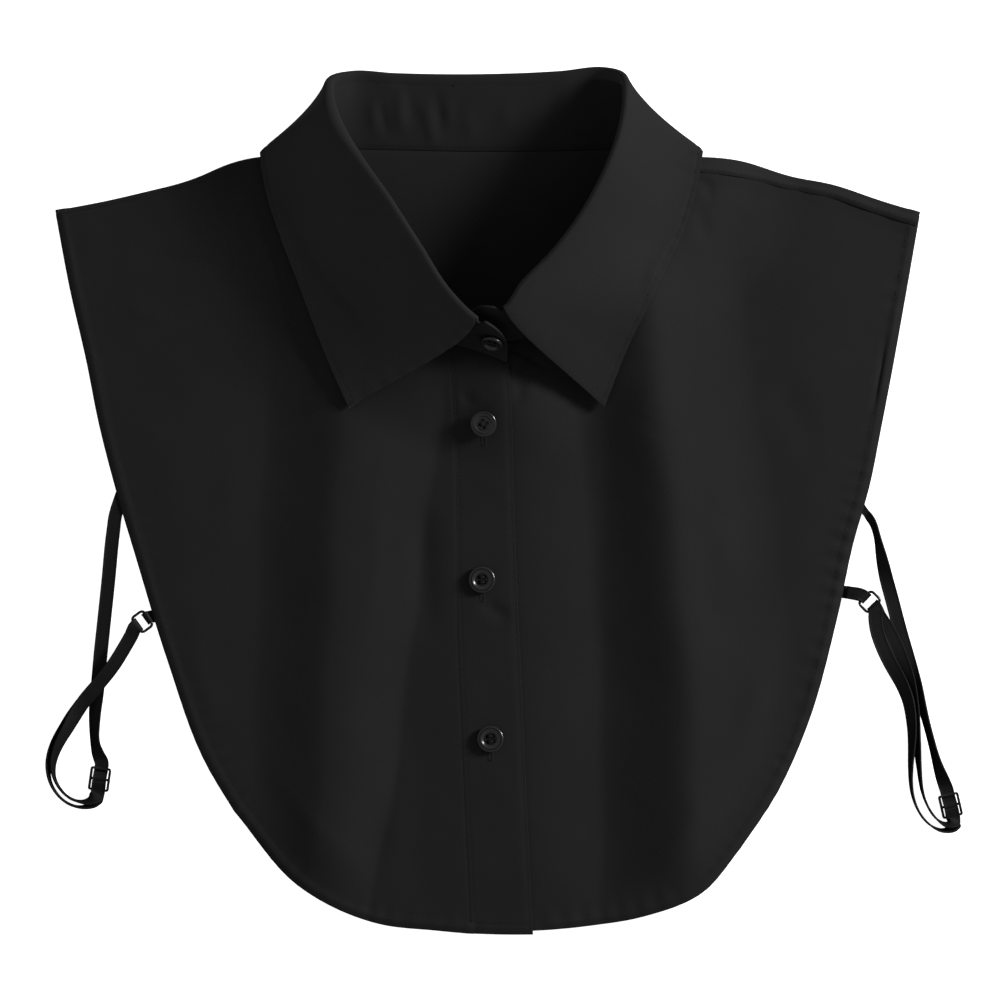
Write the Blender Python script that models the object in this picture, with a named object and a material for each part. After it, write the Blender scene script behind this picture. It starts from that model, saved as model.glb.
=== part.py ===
"""Detachable shirt collar: a half shirt of black poplin, buttoned and laid flat on a table.

Every cut piece is one closed solid. A piece of cloth starts as a sheet of points, worked out from the tables
below, and a Solidify modifier gives it its wall.
Frame: X to the right, Y towards the neck, Z up from the table. The origin is on the table under the middle of
the garment without its elastic straps. The tables hold millimetres.
"""

import math

import bmesh
import bpy
import numpy as np
from mathutils import Vector

MM = 0.001

# ------------------------------------------------------------------ driving sizes, mm
CLOTH = 1.0  # wall of a panel, tab or elastic
INTERLINED = 1.2  # wall of the collar leaf and the stand
SEAM = 0.3  # gap between pieces that are sewn or that lie on each other
SHOULDER_GAP = 0.4  # between a front and the back's strip, where their grids differ
UNDER_EDGE = 1.0  # the under front's edge lies this far inside the placket's stitched edge
BACK_INSET = 3.0  # the back's open edges lie this far inside the fronts'
PLACKET_STEP = CLOTH + SEAM  # the over front lies this much higher, over the under front
PLACKET_FADE = 40.0  # width over which the over front comes down to the back panel
BUTTON_DIAMETER = 11.5
COLLAR_BUTTON_DIAMETER = 10.0
BUTTON_THICKNESS = 2.6
HOLE_RADIUS, HOLE_FROM_MIDDLE = 0.9, 1.6
ELASTIC_WIDTH = 6.0
ELASTIC_STEP = 5.0  # longest span of an elastic
ELASTIC_REST = 0.08  # a turned strap's corner stays this far off the table
TAB_WIDTH = 5.4
RING_WIRE = 1.2
RING_LONG, RING_SHORT = 9.0, 7.3
RING_CORNER = 1.6
SLIDER_LONG, SLIDER_WIDE, SLIDER_THICK = 10.2, 9.0, 1.0
SLIDER_BAR, SLIDER_SIDE = 1.0, 1.1
SLIDER_CORNER = 1.2
SLIDER_HEIGHT = 1.8  # of its middle, over one layer of elastic

# Outline of the fronts, from the hem's turn to the shoulder tip: x, y
LEFT_SIDE = [(-108.2, -132.8), (-119.8, -113.6), (-136.9, -67.9), (-150.1, -24.8), (-159.1, 5.6),
             (-166.3, 33.7), (-171.4, 59.4), (-178.7, 91.4), (-184.7, 123.4)]
RIGHT_SIDE = [(107.8, -148.6), (122.8, -126.4), (136.4, -96.5), (149.2, -50.8), (156.5, -17.1),
              (163.3, 6.8), (168.0, 30.3), (171.9, 50.4), (178.3, 85.8), (184.7, 122.5)]
LEFT_HEM = [(-108.2, -132.8), (-80.9, -164.4), (-47.2, -180.6), (-21.6, -183.6), (-7.5, -184.9)]
PLACKET_HEM = [(-7.2, -184.9), (7.0, -185.3), (19.4, -185.3)]
RIGHT_HEM = [(-6.2, -183.6), (19.9, -183.6), (43.8, -181.5), (66.4, -177.6), (92.9, -166.5), (107.8, -148.6)]
# Shoulder fold, from the tip to the neck: x, y
LEFT_SHOULDER = [(-184.7, 123.4), (-164.2, 127.2), (-143.7, 131.9), (-122.8, 137.1), (-110.0, 141.3),
                 (-92.0, 145.0), (-77.1, 146.5)]
RIGHT_SHOULDER = [(184.7, 122.5), (167.6, 127.7), (147.1, 134.5), (129.2, 137.9), (109.5, 142.4),
                  (89.0, 144.6), (73.0, 146.1)]
# Placket, from the hem to the neck: x of the stitched edge, x of the free edge, y
PLACKET_EDGES = [(-7.2, 19.4, -184.9), (-10.3, 16.4, -121.0), (-12.0, 14.6, -79.0), (-13.7, 12.6, -37.0),
                 (-14.2, 11.2, 4.0), (-15.0, 10.4, 36.0), (-16.6, 8.9, 62.0)]
# How far the back comes forward over the shoulder fold: at the tip, at the neck
FORWARD_SEAM = {"left": (0.8, 0.8), "right": (5.0, 4.0)}

# Collar, one row for each section, from the end that buttons over, round the back, to the end underneath:
# fold of the leaf x, y, z; foot of the stand x, y, z; edge of the leaf x, y, z; spring of the leaf, degrees
COLLAR = [
    (8.3, 72.4, 33.5, 8.3, 58.9, 13.3, -59.1, 39.7, 0.0, 20),
    (-4.1, 78.1, 36.0, -4.1, 63.8, 13.3, -59.1, 39.7, 0.0, 20),
    (-15.2, 88.8, 36.5, -23.5, 70.5, 13.5, -63.8, 50.0, 0.0, 22),
    (-28.0, 108.5, 36.0, -43.0, 91.0, 13.3, -72.4, 70.9, 0.0, 24),
    (-40.8, 128.5, 35.0, -59.0, 114.2, 13.0, -80.9, 93.5, 0.0, 24),
    (-52.7, 146.0, 34.0, -70.5, 132.5, 12.4, -88.6, 113.6, 0.0, 22),
    (-60.4, 160.0, 31.0, -75.5, 143.2, 11.4, -94.6, 132.8, 0.0, 18),
    (-64.7, 172.1, 26.0, -75.6, 148.0, 10.2, -96.6, 149.2, 5.5, 12),
    (-65.5, 179.4, 19.5, -70.7, 149.6, 8.0, -92.0, 148.0, 1.2, 6),
    (-57.9, 182.6, 12.0, -59.6, 150.3, 5.2, -77.9, 138.8, 0.6, 0),
    (-39.5, 181.9, 9.5, -41.6, 150.1, 4.1, -50.2, 136.6, 0.6, 0),
    (-3.2, 181.5, 9.0, -3.2, 149.4, 3.8, -3.2, 136.2, 0.6, 0),
    (31.0, 182.8, 9.5, 34.0, 149.8, 4.1, 43.8, 136.6, 0.6, 0),
    (49.3, 184.2, 12.0, 53.7, 150.3, 5.2, 70.2, 138.8, 0.6, 0),
    (56.6, 180.9, 19.5, 65.4, 149.8, 8.0, 86.4, 148.0, 1.2, 6),
    (57.4, 171.9, 26.0, 71.5, 147.6, 10.2, 91.4, 149.6, 5.5, 12),
    (55.4, 158.2, 31.0, 73.0, 140.9, 11.0, 88.6, 131.9, 0.0, 18),
    (50.2, 143.0, 34.0, 69.8, 129.0, 11.5, 83.9, 116.6, 0.0, 22),
    (40.0, 123.4, 35.0, 59.6, 110.6, 11.8, 77.1, 102.1, 0.0, 24),
    (26.7, 105.5, 36.0, 43.4, 90.9, 11.9, 67.7, 82.0, 0.0, 24),
    (13.9, 92.2, 36.5, 26.6, 76.6, 12.0, 58.3, 62.3, 0.0, 22),
    (6.6, 82.6, 36.0, 12.0, 68.4, 12.0, 49.7, 40.1, 0.0, 20),
    (-6.0, 85.2, 34.0, -9.6, 71.4, 12.0, 49.7, 40.1, 0.0, 20),
]
LEFT_CORNER, LEFT_NECK, RIGHT_NECK, RIGHT_CORNER = 1, 7, 15, 21  # rows: leaf's corners, shoulder seams
STAND_UNDER_LEAF = 4.0  # the stand ends this far below the leaf's fold
STAND_BARE = 0.8  # and this far below the fold's line, where its ends run on past the leaf
STAND_STEP_BEFORE, STAND_STEP_WIDTH = 4.0, 3.0  # it steps down this far before the leaf's corner, this wide
STAND_END_RADIUS = 11.0
END_SPANS = 6  # along each rounded end of the stand
LEAF_FALL = 0.6  # how strongly the leaf leaves its fold in the direction of its spring
ROLL_RADIUS = 1.7  # of the leaf's fold, to the middle of its wall
LEAF_CLEAR = 0.7  # between the leaf's wall and the front that it lies on
LEAF_EDGE_DIP = 0.12  # slope at which the leaf comes down on a front

# Lift of the panels towards the neck: reach of the lift, mm
BACK_REACH, FRONT_REACH = 46.0, 84.0
NECK_CORNER = 0.6  # extra room for the panels round the foot of the stand at the shoulder
CORNER_ROOM = SEAM + INTERLINED / 2 + NECK_CORNER
TURN_SHIFT = 0.5  # the strip over the shoulder keeps this much further from the stand
BACK_CORNER = 14.0  # width over which the back's neck edge comes down to go under each front
# Long soft folds of the fronts: the crest's top and hem ends, the height there, the width to each side
FOLDS = [
    # x top, y top, x hem, y hem, height top, height hem, width left, width right
    (-62.0, 45.0, -72.0, -172.0, 6.5, 3.0, 27.0, 46.0),
    (66.0, 45.0, 77.0, -172.0, 7.0, 3.5, 29.0, 38.0),
    (28.0, 10.0, 33.0, -176.0, 2.2, 1.2, 20.0, 22.0),
    (-126.0, 96.0, -134.0, -70.0, 2.6, 1.2, 36.0, 30.0),
    (132.0, 96.0, 136.0, -60.0, 2.6, 1.0, 30.0, 34.0),
]
EDGE_REST = 26.0  # the fronts come down onto the back over this width inside their open edges

# Elastic straps. The strap leaves the back's edge, runs down and through its slider, and on to its ring.
# There it turns back, so two runs lie side by side, and its end is sewn on the slider. Headings: degrees.
# main: x, y, lift, turn about its own line, width
# pair: x, y, lift, turn, half the gap between the two faces, half the distance apart along the width
STRAPS = {
    "left": {
        "slider": (-165.9, -118.9, 262.0), "ring": (-147.7, -51.6, 216.0),
        "sewn": [(-157.6, 8.0), (-154.8, -2.0)], "tab": [(-141.2, -46.0), (-139.6, -51.6)],
        "tab_line": [(-143.4, -49.4)], "tab_end": (-144.4, -49.3, 3.2),
        "main": [(-159.4, -7.0, 0, 0, 5.8), (-160.6, -16.7, 0, 0, 6.0), (-162.2, -33.7, 0, 0, 6.0),
                 (-164.0, -50.8, 0, 0, 6.0), (-165.6, -65.8, 0, 0, 6.0), (-166.9, -80.7, 0, -8, 6.0),
                 (-168.0, -93.5, 0, -36, 6.0), (-167.6, -104.2, 0, -46, 6.0)],
        "pair": [(-168.6, -128.2, 0, -45, 1.2, 0), (-172.6, -129.6, 0, -80, 1.2, 0),
                 (-178.4, -128.4, 0, -90, 1.2, 0), (-183.0, -124.6, 0, -90, 1.2, 0),
                 (-186.2, -118.6, 0, -85, 1.1, 0), (-186.6, -112.0, 0, -72, 0.9, 0),
                 (-184.2, -104.2, 0, -54, 0.8, 0), (-180.2, -97.2, 0, -38, 0.7, 0),
                 (-176.6, -91.4, 0.4, -18, 0.7, 0), (-172.2, -85.2, 1.3, 0, 0.7, 0),
                 (-166.6, -78.6, 1.4, 0, 0.7, 0), (-160.2, -70.6, 1.3, 0, 0.7, 0),
                 (-155.6, -63.2, 0.5, 0, 0.8, 0), (-152.4, -57.6, 0.1, 0, 1.1, 0)],
    },
    "right": {
        "slider": (197.9, -130.2, 283.0), "ring": (163.3, -43.1, 315.0),
        "sewn": [(159.0, 1.0), (157.6, -4.0)], "tab": [(150.4, -35.4), (149.0, -41.6)],
        "tab_line": [(155.4, -39.4), (158.4, -40.0)], "tab_end": (153.4, -38.9, 2.0),
        "main": [(161.8, -5.0, 0, -6, 3.2), (164.6, -9.2, 0, -50, 4.4), (166.5, -15.2, 0, -66, 5.8),
                 (168.2, -23.0, 0, -46, 6.0), (170.2, -32.0, 0, -18, 6.0), (173.2, -43.0, 0, 0, 6.0),
                 (176.2, -54.5, 0, 0, 6.0), (179.5, -66.0, 0, 0, 6.0), (182.6, -77.0, 0, -24, 6.0),
                 (185.7, -88.0, 0, -56, 6.0), (188.9, -100.0, 0, -66, 6.0), (192.6, -113.4, 0, -50, 6.0)],
        "pair": [(198.6, -138.6, 0, -50, 1.3, 0), (195.0, -139.4, 0, -80, 1.5, 0),
                 (190.6, -137.2, 0, -90, 1.9, 0), (186.4, -132.0, 0, -90, 2.2, 0),
                 (183.6, -124.4, 0, -94, 2.2, 0), (182.6, -114.6, 0, -102, 1.9, 0),
                 (182.4, -104.2, 0, -116, 1.3, 0), (181.9, -94.4, 0.4, -130, 0.9, 0),
                 (180.6, -85.2, 0.9, -142, 0.8, 0.4), (178.2, -77.0, 1.3, -156, 0.8, 1.4),
                 (174.8, -69.2, 1.4, -172, 0.8, 2.4), (171.4, -61.6, 1.4, -180, 0.8, 2.8),
                 (168.4, -54.6, 0.9, -180, 1.0, 2.2), (166.6, -49.6, 0.3, -180, 1.2, 1.0)],
    },
}
# Distance along the slider and height: the run through it, under its end bars and over the middle one
SLIDER_RUN = [(-6.4, 0.56), (-4.6, 0.56), (-3.7, 0.7), (-2.3, 1.8), (-0.9, 2.95), (0.0, 3.1), (0.9, 2.95),
              (2.3, 1.8), (3.7, 0.7), (4.6, 0.56), (5.8, 0.56)]
# and the sewn end, on top of that
SLIDER_END = [(5.8, 2.9), (4.6, 3.15), (2.6, 3.9), (0.8, 4.4)]
PAIR_GAP, RING_GAP = 1.2, 1.4  # half the distance of the two runs where they leave the slider, at the ring
PAIR_START = 0.4  # they begin this far past the slider's last row
RING_HEIGHT = 1.98  # of the ring's wire, over one layer of elastic
BUTTONS = [(-1.7, 32.9), (-2.4, -33.6), (1.2, -101.6)]  # down the placket: x, y

# Grid of each piece: spans across, spans along
BACK_GRID = (22, 15)
SHOULDER_COLUMNS = 7  # of the back's spans across, these follow each shoulder
ROW_CROWDING = 0.8  # below 1 the back's rows come closer together towards the shoulders
INSET_FADE = 1 / 12  # last part of each side in which the back comes out to the shoulder's tip
FRONT_GRID = (14, 26)
NECK_SPANS = 12  # of a front's spans along, these follow the neck
PLACKET_GRID = (2, 22)
COLLAR_SPANS_PER_ROW = 2
SHOULDER_SPANS = 4  # of the leaf's sections, where it wraps the shoulder
LEAF_SPANS = 9
STAND_SPANS = 4


# ------------------------------------------------------------------ lines through table rows
def smooth(rows, count, plane=2, shares=None):
    """Points of a smooth line through the rows, evenly spaced or at the given shares of its length.

    The first `plane` columns of a row are its place, and the others change along with it.
    """
    rows = np.array(rows, float)
    gaps = np.maximum(np.linalg.norm(np.diff(rows[:, :plane], axis=0), axis=1), 1e-6)
    at = np.concatenate([[0], np.cumsum(gaps)])
    slopes = np.diff(rows, axis=0) / gaps[:, None]
    before, after = gaps[:-1, None], gaps[1:, None]
    inner = (slopes[:-1] * after + slopes[1:] * before) / (before + after)
    tangents = np.vstack([slopes[:1], inner, slopes[-1:]])
    shares = np.linspace(0, 1, count) if shares is None else np.array(shares)
    wanted = shares * at[-1]
    i = np.clip(np.searchsorted(at, wanted, side="right") - 1, 0, len(gaps) - 1)
    t = ((wanted - at[i]) / gaps[i])[:, None]
    h = gaps[i][:, None]
    return ((2 * t**3 - 3 * t**2 + 1) * rows[i] + (t**3 - 2 * t**2 + t) * h * tangents[i]
            + (3 * t**2 - 2 * t**3) * rows[i + 1] + (t**3 - t**2) * h * tangents[i + 1])


def unit(vectors):
    return vectors / np.maximum(np.linalg.norm(vectors, axis=-1, keepdims=True), 1e-9)


def ease(share):
    """0 to 1 with flat ends."""
    share = np.clip(share, 0, 1)
    return share * share * (3 - 2 * share)


def nearest(points, line):
    """For each point the distance to a line of points, and the place along it as a fractional index."""
    a, b = line[:-1], line[1:]
    along = b - a
    t = ((points[:, None] - a) * along).sum(2) / np.maximum((along * along).sum(1), 1e-9)
    t = np.clip(t, 0, 1)
    gap = np.linalg.norm(points[:, None] - a - t[..., None] * along, axis=2)
    i = gap.argmin(1)
    rows = np.arange(len(points))
    return gap[rows, i], i + t[rows, i]


def four_sided(bottom, top, left, right):
    """A sheet of plan points between four edges: bottom and top run to the right, left and right upwards."""
    u = np.linspace(0, 1, len(bottom))[None, :, None]
    v = np.linspace(0, 1, len(left))[:, None, None]
    ruled = (1 - v) * bottom[None] + v * top[None] + (1 - u) * left[:, None] + u * right[:, None]
    corners = ((1 - u) * (1 - v) * bottom[0] + u * (1 - v) * bottom[-1]
               + (1 - u) * v * top[0] + u * v * top[-1])
    return ruled - corners


# ------------------------------------------------------------------ heights of the panels' lower faces
collar_rows = np.array(COLLAR, float)
front_neck_left = smooth(collar_rows[:LEFT_NECK + 1, 3:6], 30)
front_neck_right = smooth(collar_rows[RIGHT_NECK:, 3:6], 30)
back_neck = smooth(collar_rows[LEFT_NECK:RIGHT_NECK + 1, 3:6], 40)
fronts_outline = np.vstack([
    smooth(LEFT_SIDE, 24)[::-1], smooth(LEFT_HEM, 12), smooth(PLACKET_HEM, 4),
    smooth(RIGHT_HEM, 16)[4:], smooth(RIGHT_SIDE, 24)])
placket_line = smooth([(x, y) for x, _, y in PLACKET_EDGES], 24)


def over_step(plan):
    """How much higher the over front lies than the under front: all of PLACKET_STEP from the placket on."""
    line_x = np.interp(plan[:, 1], placket_line[:, 1], placket_line[:, 0])
    return PLACKET_STEP * (1 - ease((line_x - plan[:, 0]) / PLACKET_FADE))


def back_level(plan):
    """Underside of the back: flat on the table, lifted over the collar's leaf, low at its neck corners."""
    gap, place = nearest(plan, back_neck[:, :2])
    run = np.concatenate([[0], np.cumsum(np.linalg.norm(np.diff(back_neck[:, :2], axis=0), axis=1))])
    from_end = np.minimum(run, run[-1] - run)
    line = back_neck[:, 2] - CLOTH / 2 - (CLOTH + SEAM) * (1 - ease(from_end / BACK_CORNER))
    return np.interp(place, np.arange(len(back_neck)), line) * (1 - ease(gap / BACK_REACH))


def neck_lift(plan):
    """Underside of the under front at the neck, and its distance from there."""
    line = np.vstack([front_neck_left, front_neck_right])
    foot = line[:, 2] - CLOTH / 2
    foot[:len(front_neck_left)] -= over_step(front_neck_left)
    gap_left, place_left = nearest(plan, front_neck_left[:, :2])
    gap_right, place_right = nearest(plan, front_neck_right[:, :2])
    count = len(front_neck_left)
    place = np.where(gap_left < gap_right, place_left, place_right + count)
    return np.interp(place, np.arange(len(line)), foot), np.minimum(gap_left, gap_right)


def front_level(plan):
    """Underside of the fronts, over the back: lifted at the neck and in the folds, down at the open edges."""
    foot, gap = neck_lift(plan)
    base = back_level(plan) + CLOTH + SEAM
    level = base + np.maximum(foot - base, 0) * (1 - ease(gap / FRONT_REACH))
    edge_gap, _ = nearest(plan, fronts_outline)
    rest = ease(edge_gap / EDGE_REST)
    folds = np.zeros(len(plan))
    for x_top, y_top, x_hem, y_hem, h_top, h_hem, left, right in FOLDS:
        share = (y_top - plan[:, 1]) / (y_top - y_hem)
        crest = x_top + (x_hem - x_top) * share
        across = plan[:, 0] - crest
        width = np.where(across < 0, left, right)
        shape = (1 + np.cos(math.pi * np.clip(across / width, -1, 1))) / 2
        height = h_top + (h_hem - h_top) * np.clip(share, 0, 1)
        folds += height * shape * ease((share + 0.25) / 0.45)
    folds *= 0.3 + 0.7 * rest
    return level + folds


def over_level(plan):
    """Underside of the over front and the placket, which lie on the under front's edge."""
    return front_level(plan) + over_step(plan)


def collar_sections(first, last, spans=COLLAR_SPANS_PER_ROW, finer=None):
    """Smooth sections of the collar between two rows of its table. `finer` gives some rows another count."""
    shares = []
    gaps = np.linalg.norm(np.diff(collar_rows[:, :3], axis=0), axis=1)
    at = np.concatenate([[0], np.cumsum(gaps)]) / gaps.sum()
    for row in range(first, last):
        count = (finer or {}).get(row, spans)
        shares.extend(np.linspace(at[row], at[row + 1], count + 1)[:-1])
    shares.append(at[last])
    return smooth(collar_rows, 0, plane=3, shares=shares)


def collar_frames(sections):
    """For each section: direction up the stand, and outward from it."""
    fold, foot = sections[:, :3], sections[:, 3:6]
    up = unit(fold - foot)
    along = unit(np.gradient(fold, axis=0))
    out = unit(np.cross(up, along))
    return up, out


# ------------------------------------------------------------------ Blender objects
def cloth_material(name, shade, roughness):
    material = bpy.data.materials.new(name)
    material.use_nodes = True
    shader = material.node_tree.nodes["Principled BSDF"]
    shader.inputs["Base Color"].default_value = (*shade, 1)
    shader.inputs["Roughness"].default_value = roughness
    shader.inputs["Metallic"].default_value = 0.0
    return material


for old in list(bpy.data.objects):
    bpy.data.objects.remove(old)
POPLIN = cloth_material("black cotton poplin", (0.011, 0.011, 0.012), 0.85)
ELASTIC = cloth_material("black flat elastic", (0.013, 0.013, 0.014), 0.7)
PLASTIC = cloth_material("black polyester resin", (0.01, 0.01, 0.01), 0.25)
LACQUER = cloth_material("black lacquered metal", (0.012, 0.012, 0.012), 0.3)


def link(name, mesh, material):
    obj = bpy.data.objects.new(name, mesh)
    mesh.materials.append(material)
    bpy.context.scene.collection.objects.link(obj)
    return obj


def cloth(name, sheets, wall, material=POPLIN):
    """A cloth solid from sheets of points, each (rows, columns, xyz). Points that match are joined."""
    bm = bmesh.new()
    for sheet in sheets:
        verts = [[bm.verts.new(point * MM) for point in row] for row in sheet]
        for low, high in zip(verts, verts[1:]):
            for i in range(len(low) - 1):
                bm.faces.new((low[i], low[i + 1], high[i + 1], high[i]))
    bmesh.ops.remove_doubles(bm, verts=bm.verts, dist=0.02 * MM)
    mesh = bpy.data.meshes.new(name)
    bm.to_mesh(mesh)
    bm.free()
    mesh.shade_smooth()
    obj = link(name, mesh, material)
    solid = obj.modifiers.new("wall", "SOLIDIFY")
    solid.thickness = wall * MM
    solid.offset = 0
    solid.use_even_offset = True
    return obj


def raised(plan, level, wall=CLOTH):
    """Plan points as a sheet, with the middle of the wall over the level of its lower face."""
    flat = plan.reshape(-1, 2)
    return np.concatenate([flat, (level(flat) + wall / 2)[:, None]], axis=1).reshape(*plan.shape[:-1], 3)


def neck_edge(first, last):
    """Plan line of the panels' edge along the stand's foot, between two rows of the collar's table."""
    sections = collar_sections(first, last, 8)
    up, _ = collar_frames(sections)
    foot = sections[:, 3:5]
    along = unit(np.gradient(foot, axis=0))
    square = np.column_stack([along[:, 1], -along[:, 0]])
    away = np.where((square * up[:, :2]).sum(1) > 0, -1, 1)
    corners = collar_rows[[LEFT_NECK, RIGHT_NECK], 3:5]
    from_corner = np.linalg.norm(foot[:, None] - corners, axis=2).min(1)
    clear = SEAM + INTERLINED / 2 + NECK_CORNER * (1 - ease(from_corner / BACK_CORNER))
    return foot + square * (away * clear)[:, None]


def cut(line, start=0.0, end=0.0, count=2):
    """The line without `start` mm of its beginning and `end` mm of its end, as evenly spaced points."""
    run = np.concatenate([[0], np.cumsum(np.linalg.norm(np.diff(line, axis=0), axis=1))])
    wanted = np.linspace(start, run[-1] - end, count)
    return np.column_stack([np.interp(wanted, run, line[:, axis]) for axis in range(line.shape[1])])


def run_at_x(line, x):
    """How far along a line of falling x the given x is."""
    run = np.concatenate([[0], np.cumsum(np.linalg.norm(np.diff(line, axis=0), axis=1))])
    return float(np.interp(-x, -line[:, 0], run))


def inset(line, width):
    """A plan line moved to its left-hand side by width."""
    along = unit(np.gradient(line, axis=0))
    return line + np.stack([-along[:, 1], along[:, 0]], axis=1) * width


# ------------------------------------------------------------------ back panel
def back_panel():
    """Back, with the strip of it that comes forward over each shoulder to meet the front."""
    across, along = BACK_GRID
    neck_count = across - 2 * SHOULDER_COLUMNS + 1
    seam_line = cut(neck_edge(LEFT_NECK, RIGHT_NECK), count=neck_count)
    left_top = smooth(LEFT_SHOULDER, SHOULDER_COLUMNS + 1)
    right_top = smooth(RIGHT_SHOULDER, SHOULDER_COLUMNS + 1)[::-1]
    for end, row, side in ((0, LEFT_NECK, -1), (-1, RIGHT_NECK, 1)):
        seam_line[end] = collar_rows[row, 3:5] + np.array([side, -1]) * CORNER_ROOM
    left_top[-1], right_top[0] = seam_line[0], seam_line[-1]
    top = np.vstack([left_top[:-1], seam_line, right_top[1:]])
    shares = np.linspace(0, 1, along + 1) ** ROW_CROWDING
    left = smooth(LEFT_SIDE, along + 1, shares=shares)
    right = smooth(RIGHT_SIDE, along + 1, shares=shares)
    tuck = np.minimum(1, (1 - shares) / INSET_FADE)[:, None]
    left = left + (inset(left, -BACK_INSET) - left) * tuck
    right = right + (inset(right, BACK_INSET) - right) * tuck
    hem = smooth(LEFT_HEM[:-1] + PLACKET_HEM[1:2] + RIGHT_HEM[2:], across + 1)
    bottom = inset(hem, BACK_INSET)
    bottom[0], bottom[-1] = left[0], right[0]
    plan = four_sided(bottom, top, left, right)
    panel = raised(plan, back_level)
    shoulders = [shoulder_turn(panel[-1][:SHOULDER_COLUMNS + 1], "left"),
                 shoulder_turn(panel[-1][-SHOULDER_COLUMNS - 1:], "right")]
    return cloth("back_panel", [panel] + shoulders, CLOTH)


def shoulder_turn(edge, side):
    """The back's strip from its shoulder edge up round the fold and forward to the seam."""
    plan = edge[:, :2]
    at_tip, at_neck = FORWARD_SEAM[side]
    if side == "left":
        level, neck, neck_end = over_level, neck_edge(0, LEFT_NECK)[::-1], -1
        width = np.linspace(at_tip, at_neck, len(edge))
    else:
        level, neck, neck_end = front_level, neck_edge(RIGHT_NECK, len(COLLAR) - 1), 0
        width = np.linspace(at_neck, at_tip, len(edge))
    along = unit(np.gradient(plan, axis=0))
    inward = np.stack([along[:, 1], -along[:, 0]], axis=1)
    forward = plan + inward * width[:, None]
    forward[neck_end] = cut(neck, start=at_neck + CORNER_ROOM)[0]
    radius = (level(plan) + CLOTH / 2 - edge[:, 2]) / 2
    shift = unit(plan[1] - plan[0]) * (TURN_SHIFT if side == "right" else -TURN_SHIFT)
    rows = [edge]
    for turn in np.radians((45, 90, 135, 180)):
        rows.append(np.column_stack([
            plan - inward * (radius * math.sin(turn))[:, None], edge[:, 2] + radius * (1 - math.cos(turn))]))
        rows[-1][neck_end, :2] += shift
    rows.append(np.column_stack([forward, level(forward) + CLOTH / 2]))
    return np.array(rows)


# ------------------------------------------------------------------ fronts and placket
def shoulder_seam(side, count):
    """Plan line of a front's shoulder edge, from the tip to the neck, just short of the back's strip."""
    line = smooth(LEFT_SHOULDER if side == "left" else RIGHT_SHOULDER, count)
    at_tip, at_neck = FORWARD_SEAM[side]
    width = np.linspace(at_tip, at_neck, count)[:, None] + SHOULDER_GAP
    down = inset(line, -1.0 if side == "left" else 1.0) - line
    return line + down * width


def front_over():
    """The front that buttons over, from its armhole to the placket's stitched edge."""
    across, along = FRONT_GRID
    side = smooth(LEFT_SIDE, along + 1)
    hem = smooth(LEFT_HEM, across + 1)
    seam = smooth([(x - SEAM, y) for x, _, y in PLACKET_EDGES], along - NECK_SPANS + 1)
    neck = neck_edge(0, LEFT_NECK)
    shoulder = FORWARD_SEAM["left"][1] + CORNER_ROOM + SHOULDER_GAP
    neck = cut(neck, run_at_x(neck, seam[-1][0]), shoulder, NECK_SPANS + 1)
    inner = np.vstack([seam[:-1], neck])
    top = shoulder_seam("left", across + 1)
    side[-1], top[-1], hem[-1] = top[0], inner[-1], inner[0]
    return cloth("front_over", [raised(four_sided(hem, top, side, inner), over_level)], CLOTH)


def placket():
    """The buttonhole band along the edge of the over front, up to the foot of the stand."""
    across, along = PLACKET_GRID
    left = smooth([(x, y) for x, _, y in PLACKET_EDGES], along + 1)
    right = smooth([(x, y) for _, x, y in PLACKET_EDGES], along + 1)
    neck = neck_edge(0, LEFT_NECK)
    ends = [run_at_x(neck, x) for x in (right[-1, 0], left[-1, 0])]
    length = np.linalg.norm(np.diff(neck, axis=0), axis=1).sum()
    top = cut(neck, ends[0], length - ends[1], across + 1)[::-1]
    bottom = smooth(PLACKET_HEM, across + 1)
    left[0], right[0], left[-1], right[-1] = bottom[0], bottom[-1], top[0], top[-1]
    return cloth("placket", [raised(four_sided(bottom, top, left, right), over_level)], CLOTH)


def front_under():
    """The front that buttons under, from its edge beneath the placket to its armhole."""
    across, along = FRONT_GRID
    side = smooth(RIGHT_SIDE, along + 1)
    hem = smooth(RIGHT_HEM, across + 1)
    edge = smooth([(x + UNDER_EDGE, y) for x, _, y in PLACKET_EDGES], along - NECK_SPANS + 1)
    shoulder = FORWARD_SEAM["right"][1] + CORNER_ROOM + SHOULDER_GAP
    neck = cut(neck_edge(RIGHT_NECK, len(COLLAR) - 1), shoulder, 0.0, NECK_SPANS + 1)[::-1]
    inner = np.vstack([edge[:-1], neck])
    top = shoulder_seam("right", across + 1)[::-1]
    top[0], side[-1], hem[0] = inner[-1], top[-1], inner[0]
    return cloth("front_under", [raised(four_sided(hem, top, inner, side), front_level)], CLOTH)


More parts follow.
